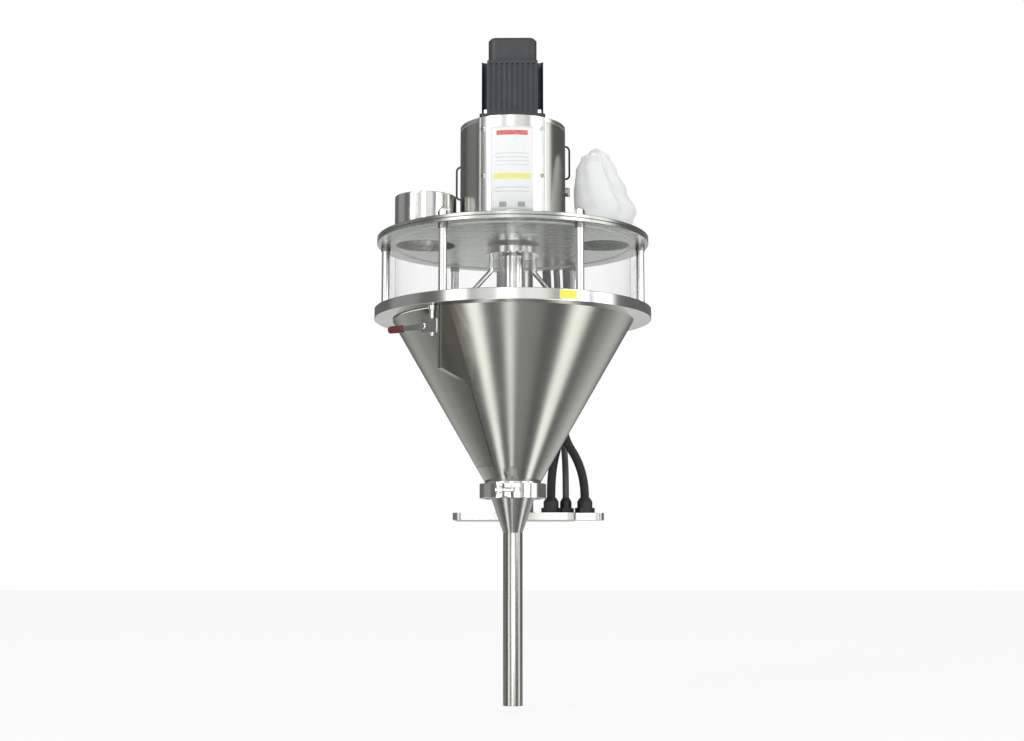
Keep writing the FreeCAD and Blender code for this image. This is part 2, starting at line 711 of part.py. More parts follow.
def rod_nuts():
    """Cap nuts on the lid."""
    nuts = []
    for spot in rod_spots():
        nut = hexagon(NUT_AF, LID_TOP_Z, LID_TOP_Z + NUT_H, spot.x, spot.y)
        dome = Part.makeSphere(NUT_AF / 2, Vector(spot.x, spot.y, LID_TOP_Z + NUT_H - 1))
        dome = dome.common(cylinder(NUT_AF, LID_TOP_Z + NUT_H, LID_TOP_Z + 2 * NUT_H, spot.x, spot.y))
        hole = cylinder(ROD_STUD_D / 2, LID_TOP_Z - 1, LID_TOP_Z + NUT_H - 2, spot.x, spot.y)
        nuts.append(fused([nut, dome]).cut(hole))
    return Part.makeCompound(nuts)


def lid():
    outer = LID_OD / 2
    middle = LID_Z + LID_T / 2
    half = LID_GROOVE / 2
    plate = revolved([(SEAL_RING_OD / 2, LID_Z), (outer - EDGE, LID_Z), (outer, LID_Z + EDGE),
                      (outer, middle - half), (outer - LID_GROOVE, middle), (outer, middle + half),
                      (outer, LID_TOP_Z - EDGE), (outer - EDGE, LID_TOP_Z),
                      (SEAL_RING_OD / 2, LID_TOP_Z)])
    for spot in rod_spots():
        plate = plate.cut(cylinder(ROD_STUD_D / 2, LID_Z - 1, LID_TOP_Z + 1, spot.x, spot.y))
    plate = plate.cut(cylinder(INLET_OD / 2 - INLET_WALL, LID_Z - 1, LID_TOP_Z + 1, *INLET_AT))
    return plate.cut(cylinder(VENT_OD / 2 - VENT_WALL, LID_Z - 1, LID_TOP_Z + 1, *VENT_AT))


def collar_tube(outer, wall, height, at):
    """A welded tube whose mouth is rolled inwards."""
    tube = ring(outer, outer - wall, LID_TOP_Z, LID_TOP_Z + height - wall, *at)
    bead = Part.makeTorus(outer - wall, wall, Vector(at[0], at[1], LID_TOP_Z + height - wall))
    return fused([tube, bead])


def inlet_collar():
    return collar_tube(INLET_OD / 2, INLET_WALL, INLET_H, INLET_AT)


def vent_collar():
    return ring(VENT_OD / 2, VENT_OD / 2 - VENT_WALL, LID_TOP_Z, LID_TOP_Z + VENT_H, *VENT_AT)


def oval(rx, ry, x, y, z):
    if rx < ry:
        edge = Part.Ellipse(Vector(0, ry, 0), Vector(rx, 0, 0), Vector(0, 0, 0)).toShape()
    else:
        edge = Part.Ellipse(Vector(rx, 0, 0), Vector(0, ry, 0), Vector(0, 0, 0)).toShape()
    edge.translate(Vector(x, y, z))
    return Part.Wire(edge)


def bag_skirt(grow, height):
    """The loose skirt round the vent collar, or a solid that is larger by grow."""
    z0 = LID_TOP_Z + APART
    return cylinder(VENT_OD / 2 + BAG_CLOTH + grow, z0, z0 + height, *VENT_AT)


def vent_bag():
    """Cloth breather bag: a skirt round the vent collar, then a leaning body."""
    x, y = VENT_AT
    radius = VENT_OD / 2 + BAG_CLOTH
    z0 = LID_TOP_Z + APART
    sections = [oval(radius, radius, x, y, z0 + BAG_SKIRT_H)]
    for height, middle, half_width, half_depth in BAG_SECTIONS:
        sections.append(oval(half_width * VENT_OD, half_depth * VENT_OD, x + middle * VENT_OD, y,
                             z0 + height))
    body = Part.makeLoft(sections, True)
    bore = cylinder(VENT_OD / 2 + APART, z0 - 1, LID_TOP_Z + VENT_H + APART, *VENT_AT)
    return fused([bag_skirt(0, BAG_SKIRT_H), body]).cut(bore)


def bag_strap():
    """Clip band round the skirt, with its buckle towards the housing."""
    x, y = VENT_AT
    z0 = LID_TOP_Z + STRAP_UP
    z1 = z0 + STRAP_H
    radius = VENT_OD / 2 + BAG_CLOTH
    band = ring(radius + STRAP_T, radius, z0, z1, x, y)
    left = x - radius - STRAP_T
    buckle = block(left - 3, left + STRAP_T / 2, y - 9, y + 9, z0, z1)
    return fused([band, buckle.cut(cylinder(radius, z0, z1, x, y))])


# ---- Drive housing --------------------------------------------------------
def cover_half_angle():
    return math.degrees(math.asin(COVER_CHORD / HOUSING_OD))


def drive_housing():
    outer = HOUSING_OD / 2
    inner = outer - HOUSING_WALL
    z0 = LID_TOP_Z
    z1 = MOTOR_PLATE_Z
    shell = revolved([(outer - HOUSING_FOOT, z0), (outer, z0), (outer, z1), (inner, z1),
                      (inner, z0 + HOUSING_WALL), (outer - HOUSING_FOOT, z0 + HOUSING_WALL)])
    opening = block(-COVER_OPENING / 2, COVER_OPENING / 2, -outer - 1, 0,
                    z0 + 5 * COVER_MARGIN, z1 - 5 * COVER_MARGIN)
    latch_hole = rod(Vector(outer / 2, 0, LATCH_Z), Vector(outer + 1, 0, LATCH_Z), LATCH_D / 4 + RUNNING)
    cable_hole = rod(Vector(SENSOR_EXIT[0], 0, SENSOR_EXIT[1]),
                     Vector(SENSOR_EXIT[0], outer + 1, SENSOR_EXIT[1]), SENSOR_D / 2 + 2)
    return shell.cut(opening).cut(latch_hole).cut(cable_hole)


def front_cover():
    """Curved cover over the front opening, with raised long edges."""
    inner = HOUSING_OD / 2 + APART
    half = cover_half_angle()
    z0 = LID_TOP_Z + COVER_MARGIN
    z1 = MOTOR_Z - EDGE
    sheet = revolved([(inner, z0), (inner + COVER_T, z0), (inner + COVER_T, z1), (inner, z1)],
                     2 * half, -half)
    rib_angle = math.degrees(COVER_RIB / inner)
    pieces = [sheet]
    for start in (-half, half - rib_angle):
        pieces.append(revolved([(inner, z0), (inner + 2 * COVER_T, z0), (inner + 2 * COVER_T, z1),
                                (inner, z1)], rib_angle, start))
    return fused(pieces)


def cover_screws():
    seat = HOUSING_OD / 2 + APART + COVER_T
    z0 = LID_TOP_Z + 5 * COVER_MARGIN
    z1 = MOTOR_PLATE_Z - 5 * COVER_MARGIN
    half = cover_half_angle() - 5
    screws = []
    for side in (-1, 1):
        for k in range(COVER_SCREWS_PER_SIDE):
            z = z0 + (z1 - z0) * k / (COVER_SCREWS_PER_SIDE - 1)
            head = rod(Vector(0, -seat, z), Vector(0, -seat - SCREW_HEAD_H, z), SCREW_HEAD_D / 2)
            screws.append(turned(head, side * half))
    return Part.makeCompound(screws)


def motor_plate():
    plate = ring(HOUSING_OD / 2, MOTOR_PILOT_D / 2, MOTOR_PLATE_Z, MOTOR_Z)
    return plate.makeChamfer(EDGE, [e for e in plate.Edges if e.Length > 3 * HOUSING_OD])


def housing_handles():
    """Two wire grab handles, just behind the housing's sides, clear of the inlet."""
    handles = []
    surface = HOUSING_OD / 2 - HOUSING_WALL / 2
    out = HOUSING_OD / 2 + LIFT_OUT - LIFT_WIRE_D / 2
    for side, z in zip((-1, 1), LIFT_Z):
        low = z - LIFT_SPAN / 2
        high = z + LIFT_SPAN / 2
        points = [(side * surface, 0, low), (side * out, 0, low),
                  (side * out, 0, high), (side * surface, 0, high)]
        wire = bent_rod(points, LIFT_WIRE_D / 2, LIFT_OUT / 2)
        wire = turned(wire, side * LIFT_BACK)
        handles.append(wire.cut(cylinder(HOUSING_OD / 2, low - LIFT_SPAN, high + LIFT_SPAN)))
    return Part.makeCompound(handles)


def housing_latch():
    """Quarter-turn knob on the housing's right side."""
    face_x = HOUSING_OD / 2 + APART
    stem = rod(Vector(face_x - 2 * HOUSING_WALL - APART, 0, LATCH_Z), Vector(face_x, 0, LATCH_Z), LATCH_D / 4)
    knob = rod(Vector(face_x, 0, LATCH_Z), Vector(face_x + LATCH_L, 0, LATCH_Z), LATCH_D / 2)
    grip = block(face_x + LATCH_L * 0.5, face_x + LATCH_L + 1, -LATCH_D, -LATCH_D * 0.15,
                 LATCH_Z - LATCH_D, LATCH_Z + LATCH_D)
    other = grip.mirror(Vector(0, 0, 0), Vector(0, 1, 0))
    return fused([stem, knob]).cut(grip).cut(other)


# ---- Motor ----------------------------------------------------------------
def motor_body():
    z0 = MOTOR_Z
    z1 = z0 + MOTOR_FLANGE_T
    z2 = z1 + MOTOR_BODY_H
    flange = rounded_plate(MOTOR_SQ, MOTOR_SQ, 9.0, z0, z1)
    body = rounded_plate(MOTOR_BODY_SQ, MOTOR_BODY_SQ, 14.0, z1, z2)
    pilot = ring(MOTOR_PILOT_D / 2, MOTOR_SHAFT_D, z0 - MOTOR_PILOT_H, z0)
    shaft_hole = cylinder(MOTOR_SHAFT_D / 2 + RUNNING, z0 - 1, z0 + MOTOR_FLANGE_T)
    at = MOTOR_PCD / 2 / math.sqrt(2)
    for sx in (-1, 1):
        for sy in (-1, 1):
            body = body.cut(cylinder(MOTOR_CORNER_R, z1, z2, sx * at, sy * at))
    motor = fused([flange, body, pilot]).cut(shaft_hole)
    step = (MOTOR_BODY_SQ - 2 * 14.0) / MOTOR_RIBS
    face_at = MOTOR_BODY_SQ / 2
    grooves = []
    for k in range(MOTOR_RIBS):
        middle = (k - (MOTOR_RIBS - 1) / 2) * step
        groove = block(middle - MOTOR_RIB_GAP / 2, middle + MOTOR_RIB_GAP / 2,
                       -face_at - 1, -face_at + MOTOR_RIB_DEPTH, z1 + 6, z2 - 6)
        for quarter in (0, 90, -90):
            grooves.append(turned(groove, quarter))
    return motor.cut(Part.makeCompound(grooves))


def motor_end_cap():
    z0 = MOTOR_Z + MOTOR_FLANGE_T + MOTOR_BODY_H
    z1 = z0 + MOTOR_CAP_H
    cap = rounded_plate(MOTOR_CAP_SQ, MOTOR_CAP_SQ, 16.0, z0, z1)
    return cap.makeChamfer(5 * EDGE, [e for e in cap.Edges if e.CenterOfMass.z > z1 - EDGE])


def motor_connectors():
    z = MOTOR_Z + MOTOR_FLANGE_T + MOTOR_BODY_H - PLUG_SQ
    y0 = MOTOR_BODY_SQ / 2
    plugs = []
    for x in PLUG_AT_X:
        box = block(x - PLUG_SQ / 2, x + PLUG_SQ / 2, y0, y0 + PLUG_SQ / 2, z - PLUG_SQ / 2, z + PLUG_SQ / 2)
        neck = rod(Vector(x, y0 + PLUG_SQ / 2, z), Vector(x, plug_end_y(), z), PLUG_NECK_D / 2)
        plugs.append(fused([box, neck]))
    return Part.makeCompound(plugs)


def plug_end_y():
    return MOTOR_BODY_SQ / 2 + PLUG_SQ / 2 + PLUG_NECK_L


# ---- Drive train ----------------------------------------------------------
def bearing_housing():
    z0 = LID_TOP_Z
    z1 = z0 + BEARING_BOX_H
    foot = BEARING_FOOT_OD / 2
    outer = BEARING_BOX_OD / 2
    seat = BEARING_OD / 2
    step = seat - BEARING_SHOULDER
    low = z0 + BEARING_W
    high = z1 - BEARING_W
    return revolved([(seat, z0), (foot, z0), (foot, z0 + BEARING_FOOT_T), (outer, z0 + BEARING_FOOT_T),
                     (outer, z1), (seat, z1), (seat, high), (step, high), (step, low), (seat, low)])


def bearing_ring(outer, inner, z0, z1):
    """A shielded ball bearing: two rings, with the shields set back between them."""
    lip = (outer - inner) / 4
    back = (z1 - z0) / 8
    return revolved([(inner, z0), (inner + lip, z0), (inner + lip, z0 + back), (outer - lip, z0 + back),
                     (outer - lip, z0), (outer, z0), (outer, z1), (outer - lip, z1),
                     (outer - lip, z1 - back), (inner + lip, z1 - back), (inner + lip, z1), (inner, z1)])


def bearings():
    z0 = LID_TOP_Z
    z1 = z0 + BEARING_BOX_H
    sleeve_bore = SLEEVE_OD / 2 + RUNNING
    low = bearing_ring(BEARING_OD / 2, sleeve_bore, z0, z0 + BEARING_W)
    high = bearing_ring(BEARING_OD / 2, sleeve_bore, z1 - BEARING_W, z1)
    top = bearing_ring(TOP_BEARING_OD / 2, SHAFT_D / 2 + RUNNING, BRIDGE_Z, BRIDGE_Z + TOP_BEARING_W)
    return Part.makeCompound([low, high, top])


def lid_seal():
    z0 = LID_Z + (LID_T - SEAL_RING_H) / 2
    return ring(SEAL_RING_OD / 2, SLEEVE_OD / 2 + RUNNING, z0, z0 + SEAL_RING_H)


def gear_bridge():
    """Plate on three legs that carries the top bearing and the gearmotor."""
    z1 = BRIDGE_Z + TOP_BEARING_W
    plate = ring(BRIDGE_OD / 2, TOP_BEARING_OD / 2, BRIDGE_Z, z1)
    plate = plate.cut(cylinder(PINION_SHAFT_D / 2 + 2, BRIDGE_Z - 1, z1 + 1, 0, CENTRES))
    legs = []
    for azimuth in (0, 120, -120):
        spot = around(BRIDGE_LEG_R, azimuth)
        legs.append(cylinder(BRIDGE_LEG_D / 2, LID_TOP_Z, BRIDGE_Z, spot.x, spot.y))
    return fused([plate] + legs)


def agitator_motor():
    z0 = BRIDGE_Z + TOP_BEARING_W
    can = cylinder(GEARMOTOR_D / 2, z0, z0 + GEARMOTOR_H, 0, CENTRES)
    waist_z = z0 + GEARMOTOR_H * 0.45
    waist = ring(GEARMOTOR_D / 2 + 1, GEARMOTOR_D / 2 - 2, waist_z, waist_z + 4, 0, CENTRES)
    hole = cylinder(PINION_SHAFT_D / 2 + RUNNING, z0 - 1, z0 + PINION_SHAFT_IN + APART, 0, CENTRES)
    return can.cut(waist).cut(hole)


def involute(angle):
    return math.tan(angle) - angle


def gear(teeth, first_tooth, z0, bore, steps=4):
    """A spur gear with involute flanks; first_tooth is in degrees from +X."""
    pitch_r = GEAR_MODULE * teeth / 2
    base_r = pitch_r * math.cos(math.radians(PRESSURE_ANGLE))
    tip_r = pitch_r + GEAR_MODULE
    root_r = pitch_r - 1.25 * GEAR_MODULE
    half_at_pitch = math.pi / 2 / teeth - BACKLASH / 4 / pitch_r
    flank = []
    for k in range(steps + 1):
        radius = max(base_r, root_r) + (tip_r - max(base_r, root_r)) * k / steps
        half = half_at_pitch + involute(math.radians(PRESSURE_ANGLE)) - involute(math.acos(base_r / radius))
        flank.append((radius, half))
    if root_r < base_r:
        flank.insert(0, (root_r, flank[0][1]))
    outline = []
    for tooth in range(teeth):
        middle = math.radians(first_tooth) + 2 * math.pi * tooth / teeth
        for radius, half in flank:
            outline.append((radius * math.cos(middle - half), radius * math.sin(middle - half)))
        for radius, half in reversed(flank):
            outline.append((radius * math.cos(middle + half), radius * math.sin(middle + half)))
    wheel = prism(outline, z0, z0 + GEAR_W)
    return wheel.cut(cylinder(bore, z0 - 1, z0 + GEAR_W + 1))


def agitator_gear():
    return gear(GEAR_TEETH, 90.0, GEAR_Z, SLEEVE_OD / 2)


def pinion():
    """Pinion on the gearmotor's shaft, with a tooth space towards the gear."""
    wheel = gear(PINION_TEETH, -90.0 + 180.0 / PINION_TEETH, GEAR_Z, PINION_SHAFT_D / 2 - 1)
    shaft = cylinder(PINION_SHAFT_D / 2, GEAR_Z, BRIDGE_Z + TOP_BEARING_W + PINION_SHAFT_IN)
    whole = fused([wheel, shaft])
    whole.translate(Vector(0, CENTRES, 0))
    return whole


def agitator_sleeve():
    """Hollow shaft that carries the gear above and the agitator below the lid."""
    outer = SLEEVE_OD / 2
    bush = SHAFT_D / 2 + RUNNING
    relief = bush + SLEEVE_RELIEF
    z0 = HUB_Z
    z1 = GEAR_Z + GEAR_W
    return revolved([(bush, z0), (outer, z0), (outer, z1), (bush, z1), (bush, z1 - SLEEVE_BUSH_L),
                     (relief, z1 - SLEEVE_BUSH_L), (relief, z0 + SLEEVE_BUSH_L),
                     (bush, z0 + SLEEVE_BUSH_L)])


def agitator_hub():
    return ring(HUB_OD / 2, SLEEVE_OD / 2, HUB_Z, HUB_TOP_Z)


def arm_inset(z):
    """Radius at which an agitator arm runs inside the cone."""
    return cone_radius(z) - SHEET_R - ARM_WALL_GAP


ARM_BEND_Z = 486.0      # where the arm turns outwards
ARM_WIDE_Z = 330.0      # where it meets the cone's wall
ARM_LOW_Z = 128.0       # lower end of the run along the wall


def agitator_arms():
    """Two bars from the hub that bend out and follow the cone, with a foot ring each."""
    low_r = arm_inset(ARM_LOW_Z)
    points = [(ARM_ROD_R, 0, HUB_Z), (ARM_ROD_R, 0, ARM_BEND_Z),
              (arm_inset(ARM_WIDE_Z), 0, ARM_WIDE_Z), (low_r, 0, ARM_LOW_Z)]
    bar = bent_rod(points, ARM_ROD_D / 2, ARM_BEND)
    arms = []
    for k in (0, 1):
        arms.append(turned(bar, 90 - ARM_AZIMUTH + 180 * k))
    return Part.makeCompound(arms)


def motor_shaft():
    return cylinder(MOTOR_SHAFT_D / 2, MOTOR_SHAFT_END_Z, MOTOR_Z + MOTOR_FLANGE_T - 1)


def shaft_coupling():
    middle = (MOTOR_SHAFT_END_Z + SHAFT_TOP_Z) / 2
    z0 = middle - COUPLING_L / 2
    z1 = middle + COUPLING_L / 2
    outer = COUPLING_OD / 2
    waist = outer - 3
    body = revolved([(0, z0), (outer, z0), (outer, middle - 6), (waist, middle - 6), (waist, middle + 6),
                     (outer, middle + 6), (outer, z1), (0, z1)])
    top_bore = cylinder(MOTOR_SHAFT_D / 2, MOTOR_SHAFT_END_Z, z1 + 1)
    low_bore = cylinder(SHAFT_D / 2, z0 - 1, SHAFT_TOP_Z)
    return body.cut(top_bore).cut(low_bore)


def drive_shaft():
    return cylinder(SHAFT_D / 2, CHUCK_Z + CHUCK_L / 2, SHAFT_TOP_Z)


def screw_chuck():
    """Sleeve that takes the screw's top end and is pinned across."""
    outer = CHUCK_OD / 2
    z0 = CHUCK_Z
    z1 = CHUCK_TOP_Z
    body = revolved([(0, z0), (SHAFT_D / 2 + CHUCK_WALL_END, z0), (outer, z0 + 1.5 * CHUCK_WALL_END),
                     (outer, z1 - 2 * EDGE), (outer - 2 * EDGE, z1), (0, z1)])
    bore = cylinder(SHAFT_D / 2, z0 - 1, z1 + 1)
    return body.cut(bore)


def auger_screw():
    """The dosing screw: a rod with a helical flight."""
    rod_r = SHAFT_D / 2
    rod_top = CHUCK_Z + CHUCK_L / 2
    z0 = TUBE_END_Z + FLIGHT_T
    bar = cylinder(rod_r, z0 - FLIGHT_T / 2, rod_top)
    height = FLIGHT_TOP_Z - z0
    helix = Part.makeHelix(FLIGHT_PITCH, height, FLIGHT_OD / 2)
    r0 = rod_r - FLIGHT_SUNK
    r1 = FLIGHT_OD / 2
    half = FLIGHT_T / 2
    section = Part.makePolygon([Vector(r0, 0, -half), Vector(r1, 0, -half), Vector(r1, 0, half),
                                Vector(r0, 0, half), Vector(r0, 0, -half)])
    flight = Part.Wire(helix).makePipeShell([section], True, True)
    flight.translate(Vector(0, 0, z0))
    return bar.fuse(flight)


# ---- Discharge ------------------------------------------------------------
def lip_profile(side, body_r):
    """Corner points of a ferrule lip above (side +1) or below (-1) the joint."""
    face_z = JOINT_Z + side * JOINT_GASKET_T / 2
    rim = FERRULE_OD / 2
    slope = math.tan(math.radians(FERRULE_SLOPE))
    rim_z = face_z + side * FERRULE_RIM
    root_z = rim_z + side * (rim - body_r) * slope
    return (rim, face_z), (rim, rim_z), (body_r, root_z)


def discharge_ferrule():
    """Lower neck of the hopper, welded under the cone, with its clamp lip."""
    bore = FERRULE_BORE / 2
    neck = NECK_OD / 2
    face_corner, rim_corner, root_corner = lip_profile(1, neck)
    return revolved([(bore, face_corner[1]), face_corner, rim_corner, root_corner,
                     (neck, CONE_BOTTOM_Z), (bore, CONE_BOTTOM_Z)])


def clamp_gasket():
    return ring(FERRULE_OD / 2, FERRULE_BORE / 2, JOINT_Z - JOINT_GASKET_T / 2, JOINT_Z + JOINT_GASKET_T / 2)


def reducer_funnel():
    bore = FERRULE_BORE / 2
    shoulder = REDUCER_SHOULDER_OD / 2
    face_corner, rim_corner, root_corner = lip_profile(-1, bore + SHEET)
    tube = TUBE_OD / 2
    return revolved([face_corner, rim_corner, root_corner, (shoulder, REDUCER_SHOULDER_Z),
                     (tube, REDUCER_END_Z), (tube - TUBE_WALL, REDUCER_END_Z),
                     (shoulder - SHEET, REDUCER_SHOULDER_Z), (bore, face_corner[1])])


def auger_tube():
    outer = TUBE_OD / 2
    return ring(outer, outer - TUBE_WALL, TUBE_END_Z, REDUCER_END_Z)


def bolt_y():
    return -(CLAMP_OD / 2 + CLAMP_BOLT_OUT)


def ear_gap():
    return CLAMP_SPLIT / 2


def clamp_half():
    """Right half of the clamp ring, with its groove, front ear and rear knuckle."""
    outer = CLAMP_OD / 2
    z0 = JOINT_Z - CLAMP_H / 2
    z1 = JOINT_Z + CLAMP_H / 2
    slope = math.tan(math.radians(FERRULE_SLOPE))
    rim = FERRULE_OD / 2 + APART
    lip = JOINT_GASKET_T / 2 + FERRULE_RIM + APART
    mouth_r = NECK_OD / 2 + APART
    open_lip = lip + (rim - mouth_r) * slope
    band = revolved([(rim, JOINT_Z - lip), (rim, JOINT_Z + lip), (mouth_r, JOINT_Z + open_lip), (mouth_r, z1),
                     (outer - EDGE, z1), (outer, z1 - EDGE), (outer, z0 + EDGE), (outer - EDGE, z0),
                     (mouth_r, z0), (mouth_r, JOINT_Z - open_lip)], 180.0, 0.0)
    band = band.cut(block(-ear_gap(), ear_gap(), -CLAMP_OD, CLAMP_OD, z0 - 1, z1 + 1))
    ear_z0 = JOINT_Z - EAR_H / 2
    ear_z1 = JOINT_Z + EAR_H / 2
    ear = block(ear_gap(), ear_gap() + EAR_T, -outer - EAR_L, -outer + 4, ear_z0, ear_z1)
    slot = block(ear_gap() - 1, ear_gap() + EAR_T + 1, bolt_y() - EAR_L, bolt_y() + CLAMP_EYE_D / 2 + APART,
                 JOINT_Z - CLAMP_SLOT / 2, JOINT_Z + CLAMP_SLOT / 2)
    return fused([band, ear]).cut(slot)


def clamp_halves():
    right = clamp_half()
    hole = cylinder(CLAMP_BOLT_D / 4, JOINT_Z - EAR_H, JOINT_Z + EAR_H, eye_x(), bolt_y())
    pin = cylinder(CLAMP_BOLT_D / 4, JOINT_Z - EAR_H / 2, JOINT_Z + EAR_H / 2, eye_x(), bolt_y())
    left = clamp_half().mirror(Vector(0, 0, 0), Vector(1, 0, 0))
    rear_pin = cylinder(ear_gap() + 1, JOINT_Z - CLAMP_H / 2, JOINT_Z + CLAMP_H / 2, 0,
                        CLAMP_OD / 2)
    return Part.makeCompound([fused([right.cut(hole), pin]), left.cut(rear_pin), rear_pin.cut(right)])


def eye_x():
    return ear_gap() + EAR_T / 2


def clamp_bolt():
    """Eye bolt that swings on its pin in the right ear and lies in the left ear's slot."""
    eye_half = CLAMP_SLOT / 2 - APART
    eye = cylinder(CLAMP_EYE_D / 2, JOINT_Z - eye_half, JOINT_Z + eye_half, eye_x(), bolt_y())
    end = -ear_gap() - EAR_T - NUT_FACE_GAP - WING_NUT_L - 6
    shank = rod(Vector(eye_x(), bolt_y(), JOINT_Z), Vector(end, bolt_y(), JOINT_Z), CLAMP_BOLT_D / 2)
    hole = cylinder(CLAMP_BOLT_D / 4 + RUNNING, JOINT_Z - EAR_H, JOINT_Z + EAR_H, eye_x(), bolt_y())
    return fused([eye, shank]).cut(hole)


def wing_nut():
    x0 = -ear_gap() - EAR_T - NUT_FACE_GAP
    x1 = x0 - WING_NUT_L
    shoulder = x0 - NUT_BEVEL
    taper = Part.makeCone(WING_NUT_D / 2 - NUT_BEVEL, WING_NUT_D / 2, NUT_BEVEL,
                          Vector(x0, bolt_y(), JOINT_Z), Vector(-1, 0, 0))
    hub = rod(Vector(shoulder, bolt_y(), JOINT_Z), Vector(x1, bolt_y(), JOINT_Z), WING_NUT_D / 2)
    pieces = [taper, hub]
    for side in (-1, 1):
        root_z = JOINT_Z + side * WING_NUT_D * 0.3
        tip_z = JOINT_Z + side * WING_SPAN / 2
        outline = [(shoulder - 1, root_z), (x1 - 1, root_z), (x1 - 5, tip_z), (x1 + 2, tip_z)]
        wing = face([(x, bolt_y() - WING_T / 2, z) for x, z in outline])
        pieces.append(wing.extrude(Vector(0, WING_T, 0)))
    bore = rod(Vector(x0 + 1, bolt_y(), JOINT_Z), Vector(x1 - 9, bolt_y(), JOINT_Z), CLAMP_BOLT_D / 2 + RUNNING)
    return fused(pieces).cut(bore)


# ---- Cables ---------------------------------------------------------------
PLUG_Z = MOTOR_Z + MOTOR_FLANGE_T + MOTOR_BODY_H - PLUG_SQ
GLAND_TOP_Z = BASE_T + GLAND_H
GLAND_RUN = 58.0        # upright run into a gland
POWER_ROUTE = [
    (PLUG_AT_X[0], plug_end_y(), PLUG_Z), (PLUG_AT_X[0], 165, PLUG_Z), (-12, 245, 838), (22, 300, 762),
    (54, 326, 665), (CLIP_X[0], CLIP_Y, CLIP_Z + CLIP_RUN / 2), (CLIP_X[0], CLIP_Y, CLIP_Z - CLIP_RUN / 2),
    (80, 334, 285), (98, 319, 180), (GLAND_X[0], GLAND_Y[0], GLAND_TOP_Z + GLAND_RUN),
    (GLAND_X[0], GLAND_Y[0], GLAND_TOP_Z)]
ENCODER_ROUTE = [
    (PLUG_AT_X[1], plug_end_y(), PLUG_Z), (PLUG_AT_X[1], 165, PLUG_Z), (44, 243, 840), (72, 298, 765),
    (101, 325, 668), (CLIP_X[2], CLIP_Y, CLIP_Z + CLIP_RUN / 2), (CLIP_X[2], CLIP_Y, CLIP_Z - CLIP_RUN / 2),
    (113, 312, 285), (97, 289, 190), (GLAND_X[2], GLAND_Y[2], GLAND_TOP_Z + GLAND_RUN),
    (GLAND_X[2], GLAND_Y[2], GLAND_TOP_Z)]
SENSOR_ROUTE = [
    (SENSOR_EXIT[0], HOUSING_OD / 2 + SENSOR_GLAND_L, SENSOR_EXIT[1]), (SENSOR_EXIT[0], 175, SENSOR_EXIT[1]),
    (52, 222, 606), (72, 272, 600), (89, 314, 572), (CLIP_X[1], CLIP_Y, CLIP_Z + SENSOR_RUN / 2),
    (CLIP_X[1], CLIP_Y, CLIP_Z - SENSOR_RUN / 2), (98, 340, 300), (104, 344, 210), (108, 336, 152),
    (GLAND_X[1], GLAND_Y[1], GLAND_TOP_Z + GLAND_RUN), (GLAND_X[1], GLAND_Y[1], GLAND_TOP_Z)]
CABLE_SHARE = 0.45


def cable(name, points, diameter):
    path, radii = rounded_path(points, share=CABLE_SHARE)
    solid = piped(path, diameter / 2, points)
    expected = math.pi * diameter ** 2 / 4 * path.Length
    print("%s: length %.0f, tightest radius %.0f, volume / (section x length) %.4f, radii %s"
          % (name, path.Length, min(radii), solid.Volume / expected, [round(r) for r in radii]))
    return solid


def power_conduit():
    return cable("power_conduit", POWER_ROUTE, CONDUIT_D)


def encoder_conduit():
    return cable("encoder_conduit", ENCODER_ROUTE, CONDUIT_D)


def sensor_cable():
    return cable("sensor_cable", SENSOR_ROUTE, SENSOR_D)


def gland(x, y, z0, bore):
    """A screwed cable gland standing on a plate."""
    body = [hexagon(2.6 * bore + 12, z0, z0 + GLAND_H * 0.35, x, y),
            cylinder(bore * 1.5 + 2, z0, z0 + GLAND_H * 0.75, x, y),
            Part.makeCone(bore * 1.5 + 2, bore * 1.15, GLAND_H * 0.25, Vector(x, y, z0 + GLAND_H * 0.75))]
    return fused(body)


def cable_glands():
    glands = []
    for x, y, bore in zip(GLAND_X, GLAND_Y, (CONDUIT_D / 2, SENSOR_D / 2, CONDUIT_D / 2)):
        glands.append(gland(x, y, BASE_T, bore))
    x, z = SENSOR_EXIT
    y1 = HOUSING_OD / 2 + SENSOR_GLAND_L
    nose = rod(Vector(x, HOUSING_OD / 4, z), Vector(x, y1, z), SENSOR_D / 2 + 2 - APART)
    head = rod(Vector(x, HOUSING_OD / 2, z), Vector(x, y1 - 4, z), SENSOR_D)
    nose = nose.cut(cylinder(HOUSING_OD / 2 - 4 * HOUSING_WALL, z - HOUSING_OD, z + HOUSING_OD))
    glands.append(fused([nose, head]))
    return Part.makeCompound(glands)


def cable_clips():
    """Bracket on the column with a ring round each cable."""
    z0 = CLIP_Z - CLIP_H / 2
    z1 = CLIP_Z + CLIP_H / 2
    start = COLUMN_OD / 2 - 2
    bar = block(start, CLIP_X[-1], CLIP_Y - CLIP_T / 2, CLIP_Y + CLIP_T / 2, z0, z1)
    band = ring(COLUMN_OD / 2 + CLIP_T, COLUMN_OD / 2, z0, z1, 0, AXIS_OUT)
    radii = (CONDUIT_D / 2, SENSOR_D / 2, CONDUIT_D / 2)
    pieces = [bar, band]
    for x, r in zip(CLIP_X, radii):
        pieces.append(cylinder(r + APART + 2, z0, z1, x, CLIP_Y))
    whole = fused(pieces)
    whole = whole.cut(cylinder(COLUMN_OD / 2, z0 - 1, z1 + 1, 0, AXIS_OUT))
    for x, r in zip(CLIP_X, radii):
        whole = whole.cut(cylinder(r + APART, z0 - 1, z1 + 1, x, CLIP_Y))
    return whole


